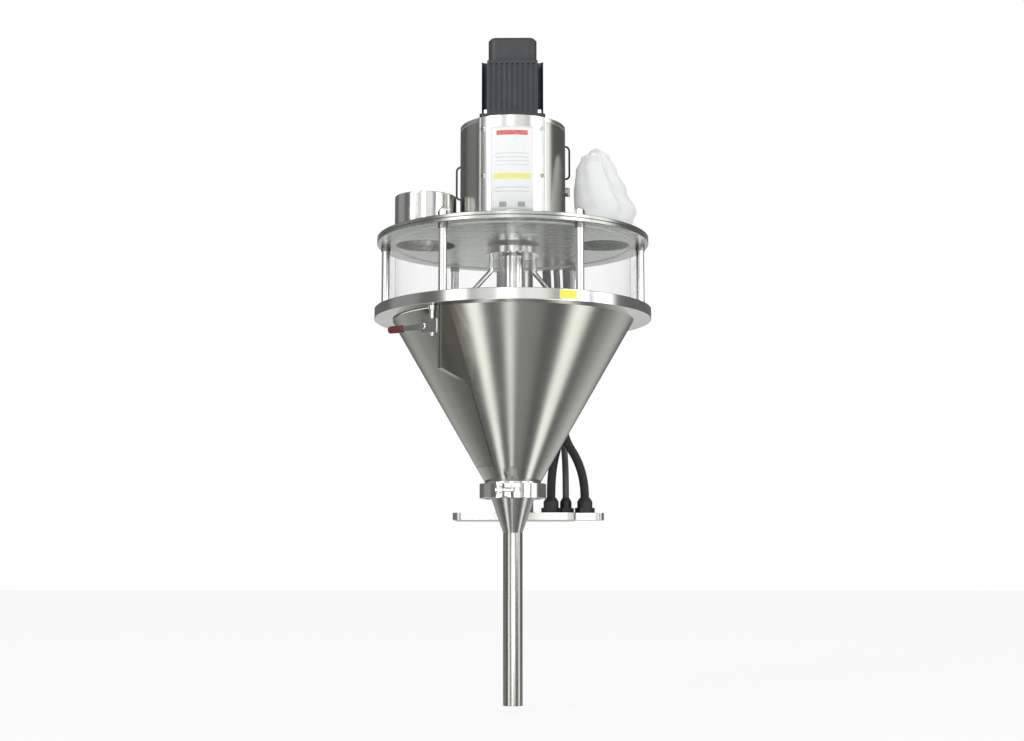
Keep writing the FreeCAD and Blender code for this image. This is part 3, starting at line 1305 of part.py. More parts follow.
NODES = [
    base_plate, column, lower_arm, upper_arm, socket_screws,
    flange_ring, hopper_cone, discharge_ferrule, hinge_pins,
    door_shell, door_seal, toggle_base, toggle_plunger, toggle_handle, toggle_grip,
    window_cylinder, window_gaskets, tie_rods, rod_spacers, rod_nuts, lid,
    inlet_collar, vent_collar, vent_bag, bag_strap,
    drive_housing, front_cover, cover_screws, housing_handles, housing_latch,
    motor_plate, motor_body, motor_end_cap, motor_connectors,
    bearing_housing, bearings, lid_seal, gear_bridge, agitator_motor,
    agitator_sleeve, agitator_gear, agitator_hub, agitator_arms, pinion,
    motor_shaft, shaft_coupling, drive_shaft, screw_chuck, auger_screw,
    clamp_halves, clamp_gasket, clamp_bolt, wing_nut, reducer_funnel, auger_tube,
    power_conduit, encoder_conduit, sensor_cable, cable_glands, cable_clips,
]

os.makedirs("parts", exist_ok=True)
for make in NODES:
    shape = make()
    shape.translate(-COLUMN_AT)
    shape.exportStep("parts/%s.step" % make.__name__)
    print("%-18s solids %2d  valid %s  volume %10.0f"
          % (make.__name__, len(shape.Solids), shape.isValid(), shape.Volume))
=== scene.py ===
# %% [markdown]
# # Dressing an auger powder filler
# The filler is a steel hopper with a dosing screw: a split cone under a clear
# ring and a lid, a drive housing with a motor on top, an inlet collar, a cloth
# breather bag, and a column with three cables behind. Its solids come from the
# CAD frame. This lesson gives them real finishes, replaces the soft pieces with
# cloth and smooth cables, adds the small details, and lights the whole.

# %% Load the frame
import math

import bmesh
import bpy
import numpy as np

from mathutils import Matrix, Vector


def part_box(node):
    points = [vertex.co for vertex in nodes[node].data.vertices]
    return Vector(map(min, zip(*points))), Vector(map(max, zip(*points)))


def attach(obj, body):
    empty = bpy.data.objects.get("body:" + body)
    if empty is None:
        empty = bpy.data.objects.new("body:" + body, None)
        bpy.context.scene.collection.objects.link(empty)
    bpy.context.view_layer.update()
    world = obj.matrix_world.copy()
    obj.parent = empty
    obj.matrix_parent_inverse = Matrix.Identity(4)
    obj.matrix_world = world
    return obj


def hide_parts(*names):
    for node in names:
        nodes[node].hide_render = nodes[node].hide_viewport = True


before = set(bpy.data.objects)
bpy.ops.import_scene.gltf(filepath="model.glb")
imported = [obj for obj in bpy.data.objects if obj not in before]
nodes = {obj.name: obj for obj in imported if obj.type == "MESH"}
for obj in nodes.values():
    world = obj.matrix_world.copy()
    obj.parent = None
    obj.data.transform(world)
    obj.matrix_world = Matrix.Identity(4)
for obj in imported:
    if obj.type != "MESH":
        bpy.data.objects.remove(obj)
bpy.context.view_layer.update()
AXIS_Y = -0.320         # the screw's axis, as the CAD frame places it

# %% [markdown]
# ## The camera
# The filler stands high on a packing machine, so it is looked at from a little
# below its base: the underside of the flange and of the lid show, and their tops
# don't. A long lens from three metres keeps the cone's sides straight. The
# camera is level from side to side and tips up just enough to hold the motor.

# %% Camera
camera_data = bpy.data.cameras.new("camera")
camera_data.lens = 53.5
camera_data.sensor_width = 36.0
camera = bpy.data.objects.new("camera", camera_data)
camera.location = (0.040, -3.300, -0.067)
camera.rotation_euler = (math.radians(90 + 6.8), 0, math.radians(0.8))
bpy.context.scene.collection.objects.link(camera)
bpy.context.scene.camera = camera
bpy.context.scene.view_settings.view_transform = "Standard"
print("lens:", camera_data.lens, "mm, camera at", tuple(camera.location))

# %% [markdown]
# ## Surfaces on a grid
# A new piece is a surface worked out as a whole: a grid of points, where one
# direction runs along the piece and the other round it. The same small function
# turns every such grid into a mesh, so each piece below is only its formula.

# %% Grid surfaces
def grid_mesh(name, points, closed_rows=False, closed_columns=False):
    """A mesh on an array of rows x columns x 3. Four neighbours make a face, seen
    from the side where columns run right and rows run up. A closed direction joins
    its last line to its first. The UV map counts both directions from 0 to 1."""
    rows, columns = points.shape[:2]
    row_steps = rows if closed_rows else rows - 1
    column_steps = columns if closed_columns else columns - 1
    i, j = np.meshgrid(np.arange(row_steps), np.arange(column_steps), indexing="ij")
    i = np.stack([i, i, i + 1, i + 1], axis=-1).reshape(-1)
    j = np.stack([j, j + 1, j + 1, j], axis=-1).reshape(-1)
    corners = (i % rows) * columns + j % columns
    mesh = bpy.data.meshes.new(name)
    mesh.vertices.add(rows * columns)
    mesh.vertices.foreach_set("co", points.reshape(-1).astype(np.float32))
    mesh.loops.add(corners.size)
    mesh.loops.foreach_set("vertex_index", corners.astype(np.int32))
    mesh.polygons.add(corners.size // 4)
    mesh.polygons.foreach_set("loop_start", np.arange(0, corners.size, 4, dtype=np.int32))
    mesh.update(calc_edges=True)
    flat = np.stack([j / column_steps, i / row_steps], axis=-1)
    mesh.uv_layers.new(name="flat").uv.foreach_set("vector", flat.reshape(-1).astype(np.float32))
    mesh.validate()
    joined = bmesh.new()
    joined.from_mesh(mesh)
    bmesh.ops.remove_doubles(joined, verts=joined.verts, dist=1e-6)
    joined.to_mesh(mesh)
    joined.free()
    mesh.polygons.foreach_set("use_smooth", np.ones(len(mesh.polygons), bool))
    thing = bpy.data.objects.new(name, mesh)
    bpy.context.scene.collection.objects.link(thing)
    return thing


print("grid helper ready")

# %% [markdown]
# ## Cables
# Two ribbed conduits leave the motor's plugs, bend over the back and run down the
# column through a clip into the glands on the base plate. A thinner grey cable
# comes out of the housing and takes the middle place. A NURBS line is pulled by
# its points, so it bends as softly as a real cable. The points are the CAD
# route's, in metres. A tube is then carried along that line, and on a conduit its
# radius waves once for each rib.

# %% Cable routes
POWER_ROUTE = [
    (-0.027, -0.227, 0.872), (-0.027, -0.155, 0.872), (-0.012, -0.075, 0.838), (0.022, -0.020, 0.762),
    (0.054, 0.006, 0.665), (0.072, 0.010, 0.5575), (0.072, 0.010, 0.3825), (0.080, 0.014, 0.285),
    (0.098, -0.001, 0.180), (0.078, -0.035, 0.106), (0.078, -0.035, 0.048)]
ENCODER_ROUTE = [
    (0.027, -0.227, 0.872), (0.027, -0.155, 0.872), (0.044, -0.077, 0.840), (0.072, -0.022, 0.765),
    (0.101, 0.005, 0.668), (0.116, 0.010, 0.5575), (0.116, 0.010, 0.3825), (0.113, -0.008, 0.285),
    (0.097, -0.031, 0.190), (0.150, -0.035, 0.106), (0.150, -0.035, 0.048)]
SENSOR_ROUTE = [
    (0.036, -0.193, 0.600), (0.036, -0.145, 0.600), (0.052, -0.098, 0.606), (0.072, -0.048, 0.600),
    (0.089, -0.006, 0.572), (0.094, 0.010, 0.5275), (0.094, 0.010, 0.4125), (0.098, 0.020, 0.300),
    (0.104, 0.024, 0.210), (0.108, 0.016, 0.152), (0.110, -0.011, 0.106), (0.110, -0.011, 0.048)]


def smooth_line(name, route):
    """The line that a quadratic NURBS spline draws between a route's points."""
    curve = bpy.data.curves.new(name, "CURVE")
    curve.dimensions = "3D"
    curve.resolution_u = 24
    spline = curve.splines.new("NURBS")
    spline.points.add(len(route) - 1)
    spline.points.foreach_set("co", [v for point in route for v in (*point, 1.0)])
    spline.order_u = 3
    spline.use_endpoint_u = True
    guide = bpy.data.objects.new(name, curve)
    bpy.context.scene.collection.objects.link(guide)
    line = bpy.data.meshes.new_from_object(guide)
    points = np.empty(len(line.vertices) * 3)
    line.vertices.foreach_get("co", points)
    bpy.data.objects.remove(guide)
    return points.reshape(-1, 3)


def even_steps(line, step):
    """The same line with its points a step apart, and the distance run at each."""
    run = np.concatenate([[0], np.cumsum(np.linalg.norm(np.diff(line, axis=0), axis=1))])
    along = np.linspace(0, run[-1], int(round(run[-1] / step)) + 1)
    return np.stack([np.interp(along, run, line[:, axis]) for axis in range(3)], axis=1), along


def cable_tube(name, route, diameter, step, rib=0.0, depth=0.0, sides=16):
    """A tube: at each step a ring of (radius - depth x wave) stands square to the
    line, where the wave is (1 - cos(2 pi x distance / rib)) / 2. A ring of no width
    closes each end. The centres of the rings come back with the cable."""
    line, along = even_steps(smooth_line(name, route), step)
    ahead = np.gradient(line, axis=0)
    ahead /= np.linalg.norm(ahead, axis=1, keepdims=True)
    side = np.cross(ahead, (1.0, 0.0, 0.0))
    side /= np.linalg.norm(side, axis=1, keepdims=True)
    other = np.cross(ahead, side)
    radius = np.full(len(line), diameter / 2)
    if rib:
        radius = radius + depth / 3 - depth * (0.5 - 0.5 * np.cos(2 * np.pi * along / rib))
    turn = np.linspace(0, 2 * np.pi, sides, endpoint=False)[None, :, None]
    ring = np.cos(turn) * side[:, None, :] + np.sin(turn) * other[:, None, :]
    tube = line[:, None, :] + radius[:, None, None] * ring
    start = np.broadcast_to(line[0], tube[:1].shape)
    end = np.broadcast_to(line[-1], tube[:1].shape)
    cable = grid_mesh(name, np.concatenate([start, tube, end]), closed_columns=True)
    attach(cable, "frame")
    print(name, "rings:", len(line), "length:", round(float(along[-1]), 4))
    return cable, [tuple(point) for point in line.tolist()]


RIB = 0.0034            # one rib of the conduit
RIB_DEPTH = 0.0012
power, power_path = cable_tube("power_line", POWER_ROUTE, 0.019, RIB / 4, RIB, RIB_DEPTH)
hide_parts("power_conduit")

encoder, encoder_path = cable_tube("encoder_line", ENCODER_ROUTE, 0.019, RIB / 4, RIB, RIB_DEPTH)
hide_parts("encoder_conduit")

sensor, sensor_path = cable_tube("sensor_line", SENSOR_ROUTE, 0.014, 0.002, sides=20)
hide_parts("sensor_cable")

# %% [markdown]
# ## Shader maths as expressions
# A finish is easier to read as sums than as boxes and wires. `Field` wraps one
# number socket, and Python's own signs add the Math nodes. `Shading` holds a node
# tree and makes every other node by one method: settings first, then sockets.

# %% Field and Shading
class Field:
    """A number that varies over a surface. An expression on it adds Math nodes."""

    def __init__(self, shading, socket):
        self.shading = shading
        self.socket = socket

    def __add__(self, other):
        return self.shading.maths("ADD", self, other)

    def __radd__(self, other):
        return self.shading.maths("ADD", other, self)

    def __sub__(self, other):
        return self.shading.maths("SUBTRACT", self, other)

    def __rsub__(self, other):
        return self.shading.maths("SUBTRACT", other, self)

    def __mul__(self, other):
        return self.shading.maths("MULTIPLY", self, other)

    def __rmul__(self, other):
        return self.shading.maths("MULTIPLY", other, self)

    def __truediv__(self, other):
        return self.shading.maths("DIVIDE", self, other)

    def __pow__(self, other):
        return self.shading.maths("POWER", self, other)


class Shading:
    """A node tree with short ways to say what is wired to what."""

    def __init__(self, tree):
        self.tree = tree

    def wire(self, socket, value):
        if isinstance(value, Field):
            value = value.socket
        if isinstance(value, bpy.types.NodeSocket):
            self.tree.links.new(value, socket)
        else:
            socket.default_value = value

    def node(self, kind, settings=None, **sockets):
        """A node of a kind. Underscores in a socket's name stand for spaces, and
        in0, in1 and so on are sockets by number."""
        made = self.tree.nodes.new("ShaderNode" + kind)
        for setting, value in (settings or {}).items():
            setattr(made, setting, value)
        for name, value in sockets.items():
            key = int(name[2:]) if name[:2] == "in" and name[2:].isdigit() else name.replace("_", " ")
            self.wire(made.inputs[key], value)
        return made

    def field(self, socket):
        return Field(self, socket)

    def maths(self, operation, first, second=0.0):
        made = self.node("Math", {"operation": operation}, in0=first, in1=second)
        return Field(self, made.outputs[0])

    def ramp(self, value, low, high):
        """0 below low, 1 above high, and a soft S between them."""
        made = self.node("MapRange", {"interpolation_type": "SMOOTHSTEP"},
                         Value=value, From_Min=low, From_Max=high)
        return Field(self, made.outputs[0])

    def band(self, value, middle, half, soft):
        """1 within half of the middle, falling to 0 over the soft edge."""
        away = self.maths("ABSOLUTE", value - middle)
        return 1 - self.ramp(away, half, half + soft)

    def joined(self, x, y, z):
        return self.node("CombineXYZ", X=x, Y=y, Z=z).outputs[0]

    def noise(self, where, scale, detail=2.0, roughness=0.5):
        made = self.node("TexNoise", {"noise_dimensions": "3D"}, Vector=where, Scale=scale,
                         Detail=detail, Roughness=roughness)
        return Field(self, made.outputs[0])

    def blend(self, amount, first, second):
        made = self.node("Mix", {"data_type": "RGBA"})
        self.wire(made.inputs[0], amount)
        self.wire(made.inputs[6], first)
        self.wire(made.inputs[7], second)
        return made.outputs[2]


print("shader maths ready")

# %% [markdown]
# ## The room
# Steel has no colour of its own to speak of: it shows the room. The room is white
# to the eye, and what polished steel sees of it is a grey studio with a few tall
# light panels, whose reflections run down the cone as bright stripes. The world
# gives both: one plain white, and one that changes with the compass direction.

# %% World
world = bpy.data.worlds.new("room")
bpy.context.scene.world = world
world.use_nodes = True
room = Shading(world.node_tree)
world.node_tree.nodes.clear()
heading = room.node("SeparateXYZ", Vector=room.node("TexCoord").outputs["Generated"])
east = room.field(heading.outputs[0])
north = room.field(heading.outputs[1])
up = room.field(heading.outputs[2])
compass = room.maths("ARCTAN2", east, 0 - north)


def light_panel(middle, half, soft):
    """A tall light panel at a compass direction, in degrees from behind the camera."""
    return room.band(compass, math.radians(middle), math.radians(half), math.radians(soft))


below = room.ramp(0 - up, -0.02, 0.25)
behind = room.ramp(north, 0.05, 0.75) * below
ahead_glow = light_panel(0, 24, 14) * room.ramp(up, -0.12, 0.06)
left_stripe = 2.2 * light_panel(-46, 4, 9)
middle_stripe = 1.7 * light_panel(-4, 2.5, 7)
right_stripe = 1.8 * light_panel(80, 6, 9)
faint_stripes = 0.22 * light_panel(24, 9, 12) + 0.18 * light_panel(-100, 12, 12)
panels = left_stripe + middle_stripe + right_stripe + faint_stripes
studio = 0.15 + panels + 0.60 * behind + 0.65 * ahead_glow + 0.12 * room.ramp(up, 0.2, 0.9)
path = room.node("LightPath")
seen = room.field(path.outputs["Is Camera Ray"])
mirrored = room.field(path.outputs["Is Glossy Ray"])
through = room.field(path.outputs["Is Transmission Ray"])
strength = mirrored * studio + (1 - mirrored) * (0.62 + 0.38 * room.maths("MAXIMUM", seen, through))
shown = room.node("Background", Color=(1, 1, 1, 1), Strength=strength)
room.node("OutputWorld", Surface=shown.outputs[0])
print("world nodes:", len(world.node_tree.nodes))

# %% [markdown]
# ## Lamps and floor
# Three soft area lamps model the shapes without burning out the cloth. The floor
# lies under the discharge tube and catches the shadow. To the eye it is as white
# as the room, and to polished steel it isn't there, so that the cone, whose sides
# face down, keeps its stripes.

# %% Lamps
def soft_lamp(name, place, aim, size, watts):
    """A square lamp at a place, turned so that its face looks at the aim."""
    data = bpy.data.lights.new(name, "AREA")
    data.shape = "RECTANGLE"
    data.size, data.size_y = size
    data.energy = watts
    lamp = bpy.data.objects.new(name, data)
    lamp.location = place
    way = Vector(aim) - Vector(place)
    lamp.rotation_euler = way.to_track_quat("-Z", "Y").to_euler()
    bpy.context.scene.collection.objects.link(lamp)
    return lamp


soft_lamp("key_lamp", (-1.9, -2.6, 2.2), (0, -0.3, 0.4), (1.2, 1.6), 34)
soft_lamp("fill_lamp", (2.3, -2.2, 0.9), (0, -0.3, 0.4), (1.0, 1.8), 22)
soft_lamp("low_lamp", (0.2, -2.4, -0.25), (0, -0.3, 0.4), (1.6, 0.5), 8)
print("lamps: 3")

# %% Floor
FLOOR_LEVEL = -0.372    # just under the end of the discharge tube


def floor_points(level, half=9.0, steps=3):
    """A flat square: x and y run over the grid, z is the level."""
    x, y = np.meshgrid(np.linspace(-half, half, steps), np.linspace(-half, half, steps))
    return np.stack([x, y, np.full_like(x, level)], axis=-1)


floor = grid_mesh("floor", floor_points(FLOOR_LEVEL))
pale = bpy.data.materials.new("pale_floor")
pale.use_nodes = True
pale.node_tree.nodes.clear()
ground = Shading(pale.node_tree)
matt = ground.node("BsdfDiffuse", Color=(0.9, 0.9, 0.9, 1))
glow = ground.node("Emission", Color=(1, 1, 1, 1), Strength=1.0)
rays = ground.node("LightPath")
near = ground.node("MixShader", Fac=0.86, in1=matt.outputs[0], in2=glow.outputs[0])
open_air = ground.node("BsdfTransparent")
whole = ground.node("MixShader", Fac=rays.outputs["Is Glossy Ray"], in1=near.outputs[0],
                    in2=open_air.outputs[0])
ground.node("OutputMaterial", Surface=whole.outputs[0])
floor.data.materials.append(pale)
print("floor at", FLOOR_LEVEL)

# %% [markdown]
# ## A finish
# Every finish starts from one shader with its steady values set on it: colour,
# roughness, metal or not. What varies over the surface is then worked out from
# the place on the object. Round pieces use the angle about the screw's axis.

# %% Finish class
class Finish(Shading):
    """A material with its shader, and the place on the object as fields."""

    def __init__(self, name, colour, roughness, metallic=0.0, **constants):
        self.material = bpy.data.materials.new(name)
        self.material.use_nodes = True
        super().__init__(self.material.node_tree)
        self.shader = self.tree.nodes["Principled BSDF"]
        self.colour = (*colour, 1.0)
        self.put("Base Color", self.colour)
        self.put("Roughness", roughness)
        self.put("Metallic", metallic)
        for key, value in constants.items():
            self.put(key.replace("_", " "), value)

    def put(self, socket, value):
        self.wire(self.shader.inputs[socket], value)

    def place(self, centre=(0.0, AXIS_Y, 0.0)):
        """The point on the object, measured from a centre, as a vector and three fields."""
        spot = self.node("TexCoord").outputs["Object"]
        moved = self.node("Mapping", {"vector_type": "POINT"}, Vector=spot,
                          Location=[-v for v in centre])
        parts = self.node("SeparateXYZ", Vector=moved.outputs[0])
        return moved.outputs[0], [self.field(s) for s in parts.outputs]

    def raise_by(self, height, distance, strength=1.0):
        bump = self.node("Bump", Height=height, Distance=distance, Strength=strength)
        self.put("Normal", bump.outputs[0])


print("finish class ready")


# %% [markdown]
# ## Brushed steel
# The hopper, the housing and the cover are brushed round and round on a lathe.
# The lines are finer than a hair, so they show as a soft blur of each reflection
# along the line of the cone. A noise that is long round the axis and short along
# it varies the roughness, a broader one the tone, and a faint one the height.

# %% Turned steel
def turned_steel(name, colour, roughness, centre=(0.0, AXIS_Y, 0.0), contrast=0.10, lines=520.0,
                 turns=3.0):
    """Steel brushed round an upright axis: noise on (x / r, y / r, height), where r is
    the distance from the axis. It is long round the axis and short along it, and it
    drives roughness, tone and a faint bump. Small pieces take fewer turns."""
    steel = Finish(name, colour, roughness, 1.0)
    spot, (x, y, z) = steel.place(centre)
    away = steel.maths("SQRT", x * x + y * y)
    east_part, north_part = x / away, y / away
    fine = steel.noise(steel.joined(east_part * turns, north_part * turns, z * lines), 1.0, 3.0, 0.65)
    broad = steel.noise(steel.joined(east_part * 2.2, north_part * 2.2, z * 1.1), 1.3, 2.0, 0.5)
    cloudy = steel.noise(spot, 9.0, 3.0, 0.6)
    steel.put("Roughness", roughness + 0.06 * (fine - 0.5) + 0.05 * (cloudy - 0.5))
    dark = tuple(c * (1 - contrast) for c in colour) + (1.0,)
    light = tuple(min(1.0, c * (1 + contrast)) for c in colour) + (1.0,)
    tone = 0.5 + 0.9 * (broad - 0.5) + 0.2 * (fine - 0.5)
    steel.put("Base Color", steel.blend(steel.ramp(tone, 0.2, 0.8), dark, light))
    steel.raise_by(fine, 0.00004, 0.22)
    return steel.material


def straight_steel(name, colour, roughness, along="x", lines=480.0, contrast=0.08):
    """Flat steel with straight brush lines: noise squeezed across the lines."""
    steel = Finish(name, colour, roughness, 1.0)
    spot, (x, y, z) = steel.place()
    across = steel.joined(x * 4.0, y * lines, z * lines) if along == "x" else \
        steel.joined(x * lines, y * lines, z * 4.0)
    fine = steel.noise(across, 1.0, 3.0, 0.6)
    cloudy = steel.noise(spot, 7.0, 3.0, 0.55)
    steel.put("Roughness", roughness + 0.07 * (fine - 0.5) + 0.06 * (cloudy - 0.5))
    dark = tuple(c * (1 - contrast) for c in colour) + (1.0,)
    light = tuple(min(1.0, c * (1 + contrast)) for c in colour) + (1.0,)
    steel.put("Base Color", steel.blend(0.5 + 0.6 * (cloudy - 0.5) + 0.4 * (fine - 0.5), dark, light))
    steel.raise_by(fine, 0.00003, 0.2)
    return steel.material


cone_steel = turned_steel("cone_steel", (0.46, 0.46, 0.42), 0.20, contrast=0.12)
door_steel = turned_steel("door_steel", (0.38, 0.38, 0.34), 0.22, contrast=0.12)
housing_steel = turned_steel("housing_steel", (0.46, 0.46, 0.42), 0.20)
cover_steel = turned_steel("cover_steel", (0.68, 0.68, 0.66), 0.24, contrast=0.06)
reducer_steel = turned_steel("reducer_steel", (0.42, 0.42, 0.40), 0.24, turns=0.5)
lid_steel = straight_steel("lid_steel", (0.50, 0.52, 0.485), 0.27)
plate_steel = straight_steel("plate_steel", (0.52, 0.52, 0.50), 0.30)
column_steel = turned_steel("column_steel", (0.55, 0.55, 0.53), 0.25, centre=(0, 0, 0), turns=0.5)
print("brushed finishes made")

# %% [markdown]
# ## Polished and dark metals
# The flange, the rods, the collars and the clamp are polished: nearly a mirror,
# with the smear of a wiping cloth. Screws and bearings are darker steel with an
# oil film, the coupling is turned aluminium, and the bearing box is cast.

# %% Polished metals
def polished_steel(name, colour=(0.78, 0.78, 0.765), roughness=0.13, smear=0.10):
    """Mirror steel: a slow noise raises the roughness in smears, a quick one
    leaves a few fine scratches."""
    steel = Finish(name, colour, roughness, 1.0)
    _, (x, y, z) = steel.place()
    wiped = steel.noise(steel.joined(x * 14.0, y * 14.0, z * 30.0), 1.0, 4.0, 0.6)
    fine = steel.noise(steel.joined(x * 90.0, y * 90.0, z * 700.0), 1.0, 2.0, 0.5)
    steel.put("Roughness", roughness + smear * steel.ramp(wiped, 0.35, 0.8) + 0.05 * (fine - 0.5))
    dull = tuple(c * 0.9 for c in colour) + (1.0,)
    steel.put("Base Color", steel.blend(steel.ramp(wiped, 0.3, 0.75), steel.colour, dull))
    steel.raise_by(fine, 0.00003, 0.5)
    return steel.material


polished = polished_steel("polished_steel")
rim_steel = turned_steel("rim_steel", (0.74, 0.74, 0.72), 0.17, contrast=0.07, lines=900.0)
rod_steel = polished_steel("rod_steel", (0.86, 0.86, 0.85), 0.10)
screw_steel = polished_steel("screw_steel", (0.30, 0.30, 0.295), 0.28)
gear_steel = polished_steel("gear_steel", (0.36, 0.36, 0.355), 0.30)
coupling_alloy = polished_steel("coupling_alloy", (0.72, 0.73, 0.75), 0.30)


def cast_iron(name, colour):
    """Cast metal: grains of noise in the height and specks in the tone."""
    iron = Finish(name, colour, 0.55, 0.7)
    spot, _ = iron.place()
    grain = iron.noise(spot, 420.0, 4.0, 0.7)
    stain = iron.noise(spot, 26.0, 3.0, 0.6)
    dark = tuple(c * 0.7 for c in colour) + (1.0,)
    iron.put("Base Color", iron.blend(iron.ramp(stain, 0.3, 0.7), dark, iron.colour))
    iron.put("Roughness", 0.45 + 0.25 * grain)
    iron.raise_by(grain, 0.0005, 0.5)
    return iron.material


cast_box = cast_iron("cast_box", (0.33, 0.34, 0.34))
print("metals made")

# %% [markdown]
# ## Paint, plastic, rubber and the clear ring
# The motor wears slate-black paint with a fine orange peel. Plugs and glands are
# moulded plastic, the conduits dull plastic, the seals milky silicone, and the
# clamp's grip dipped red vinyl. The ring is acrylic: it all but disappears where
# it is looked at squarely, and turns milky towards its edges.

# %% Paint and plastic
def painted(name, colour, roughness=0.42, peel=0.00012):
    """Paint: peel from a fine noise in the height, and rubbed patches that shine."""
    paint = Finish(name, colour, roughness)
    spot, _ = paint.place()
    peeled = paint.noise(spot, 700.0, 2.0, 0.5)
    rubbed = paint.noise(spot, 22.0, 4.0, 0.6)
    worn = tuple(min(1.0, c * 1.7 + 0.01) for c in colour) + (1.0,)
    paint.put("Base Color", paint.blend(paint.ramp(rubbed, 0.5, 0.85), paint.colour, worn))
    paint.put("Roughness", roughness + 0.2 * (rubbed - 0.5))
    paint.raise_by(peeled, peel, 0.6)
    return paint.material


motor_black = painted("motor_black", (0.024, 0.027, 0.030))
cap_black = painted("cap_black", (0.034, 0.036, 0.038), 0.5)
moulded_black = painted("moulded_black", (0.018, 0.018, 0.019), 0.5, 0.0003)
wire_black = painted("wire_black", (0.025, 0.025, 0.025), 0.45, 0.0002)
grip_red = painted("grip_red", (0.12, 0.008, 0.008), 0.45, 0.0002)
gearmotor_grey = painted("gearmotor_grey", (0.05, 0.053, 0.056), 0.45)


def silicone(name, colour):
    """Milky rubber: a little light passes in, and dust dulls it in patches."""
    rubber = Finish(name, colour, 0.45, Subsurface_Weight=0.25, Subsurface_Scale=0.004)
    spot, _ = rubber.place()
    dust = rubber.noise(spot, 60.0, 4.0, 0.6)
    rubber.put("Roughness", 0.35 + 0.3 * dust)
    dull = tuple(c * 0.85 for c in colour) + (1.0,)
    rubber.put("Base Color", rubber.blend(dust, rubber.colour, dull))
    rubber.raise_by(dust, 0.0002, 0.3)
    return rubber.material


milky = silicone("milky_silicone", (0.78, 0.78, 0.75))

# %% Clear ring
def clear_acrylic(name):
    """Acrylic by coverage: thin where it faces the eye, thicker towards the edge,
    with the faintest wipe marks in its gloss."""
    clear = Finish(name, (0.90, 0.925, 0.915), 0.04, IOR=1.49)
    spot, _ = clear.place()
    wiped = clear.noise(spot, 12.0, 4.0, 0.6)
    clear.put("Roughness", 0.03 + 0.10 * clear.ramp(wiped, 0.5, 0.9))
    facing = clear.field(clear.node("LayerWeight", Blend=0.35).outputs["Facing"])
    clear.put("Alpha", 0.035 + 0.05 * clear.ramp(wiped, 0.4, 0.9) + 0.55 * facing ** 3.0)
    return clear.material


acrylic = clear_acrylic("clear_acrylic")
print("acrylic made")

# %% Conduit and cable
conduit_black = painted("conduit_black", (0.012, 0.012, 0.013), 0.46, 0.0001)
cable_grey = painted("cable_grey", (0.085, 0.088, 0.092), 0.5, 0.0001)
power.data.materials.append(conduit_black)
encoder.data.materials.append(conduit_black)
sensor.data.materials.append(cable_grey)
print("paint, plastic and rubber made")

# %% [markdown]
# ## Putting the finishes on
# The CAD pieces keep their shape and get a finish in their material slots.

# %% Finishes on the CAD pieces
FINISHES = {
    "hopper_cone": cone_steel, "door_shell": door_steel, "flange_ring": rim_steel,
    "discharge_ferrule": polished, "hinge_pins": screw_steel, "base_plate": plate_steel,
    "column": column_steel, "lower_arm": plate_steel, "upper_arm": plate_steel,
    "socket_screws": polished, "window_cylinder": acrylic, "window_gaskets": milky,
    "tie_rods": rod_steel, "rod_spacers": screw_steel, "rod_nuts": rod_steel, "lid": lid_steel,
    "inlet_collar": polished, "vent_collar": polished, "vent_bag": milky, "bag_strap": polished,
    "drive_housing": housing_steel, "front_cover": cover_steel, "cover_screws": polished,
    "housing_handles": wire_black, "housing_latch": screw_steel, "motor_plate": cover_steel,
    "motor_body": motor_black, "motor_end_cap": cap_black, "motor_connectors": moulded_black,
    "bearing_housing": cast_box, "bearings": gear_steel, "lid_seal": milky, "gear_bridge": plate_steel,
    "agitator_motor": gearmotor_grey, "clamp_halves": polished, "clamp_gasket": milky,
    "reducer_funnel": reducer_steel, "auger_tube": reducer_steel, "cable_glands": moulded_black,
    "cable_clips": plate_steel, "motor_shaft": gear_steel, "shaft_coupling": coupling_alloy,
    "drive_shaft": polished, "screw_chuck": polished, "auger_screw": polished,
    "agitator_sleeve": polished, "agitator_gear": gear_steel, "agitator_hub": polished,
    "agitator_arms": polished, "pinion": gear_steel, "door_seal": milky, "toggle_base": polished,
    "toggle_plunger": polished, "toggle_handle": polished, "toggle_grip": grip_red,
    "clamp_bolt": polished, "wing_nut": polished, "power_conduit": conduit_black,
    "encoder_conduit": conduit_black, "sensor_cable": cable_grey}
for name, piece in nodes.items():
    piece.data.materials.clear()
    piece.data.materials.append(FINISHES[name])
print("finished:", len(nodes), "nodes")

# %% [markdown]
# ## The breather bag
# Air leaves the hopper through a short collar, and a white cloth bag over it
# keeps the dust in. Such a bag is a tube of thin cloth, strapped at the bottom
# and drawn together at the top. It stands up where the cloth is stiff and falls
# in folds where it isn't. It is made as one sheet: rings that follow the collar
# at the bottom, lean towards the housing, and close in a gathered top.

# %% Cloth bag
bag_low, bag_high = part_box("vent_bag")
collar_low, collar_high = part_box("vent_collar")
COLLAR_X = (collar_low.x + collar_high.x) / 2
COLLAR_Y = (collar_low.y + collar_high.y) / 2
COLLAR_R = (collar_high.x - collar_low.x) / 2
BAG_HEIGHT = bag_high.z - bag_low.z


def smooth(t, knots, values):
    """Values at the knots, joined by an even S between each two."""
    t = np.asarray(t, float)
    k = np.clip(np.searchsorted(knots, t, side="right") - 1, 0, len(knots) - 2)
    knots, values = np.asarray(knots, float), np.asarray(values, float)
    s = np.clip((t - knots[k]) / (knots[k + 1] - knots[k]), 0, 1)
    s = s * s * (3 - 2 * s)
    return values[k] * (1 - s) + values[k + 1] * s


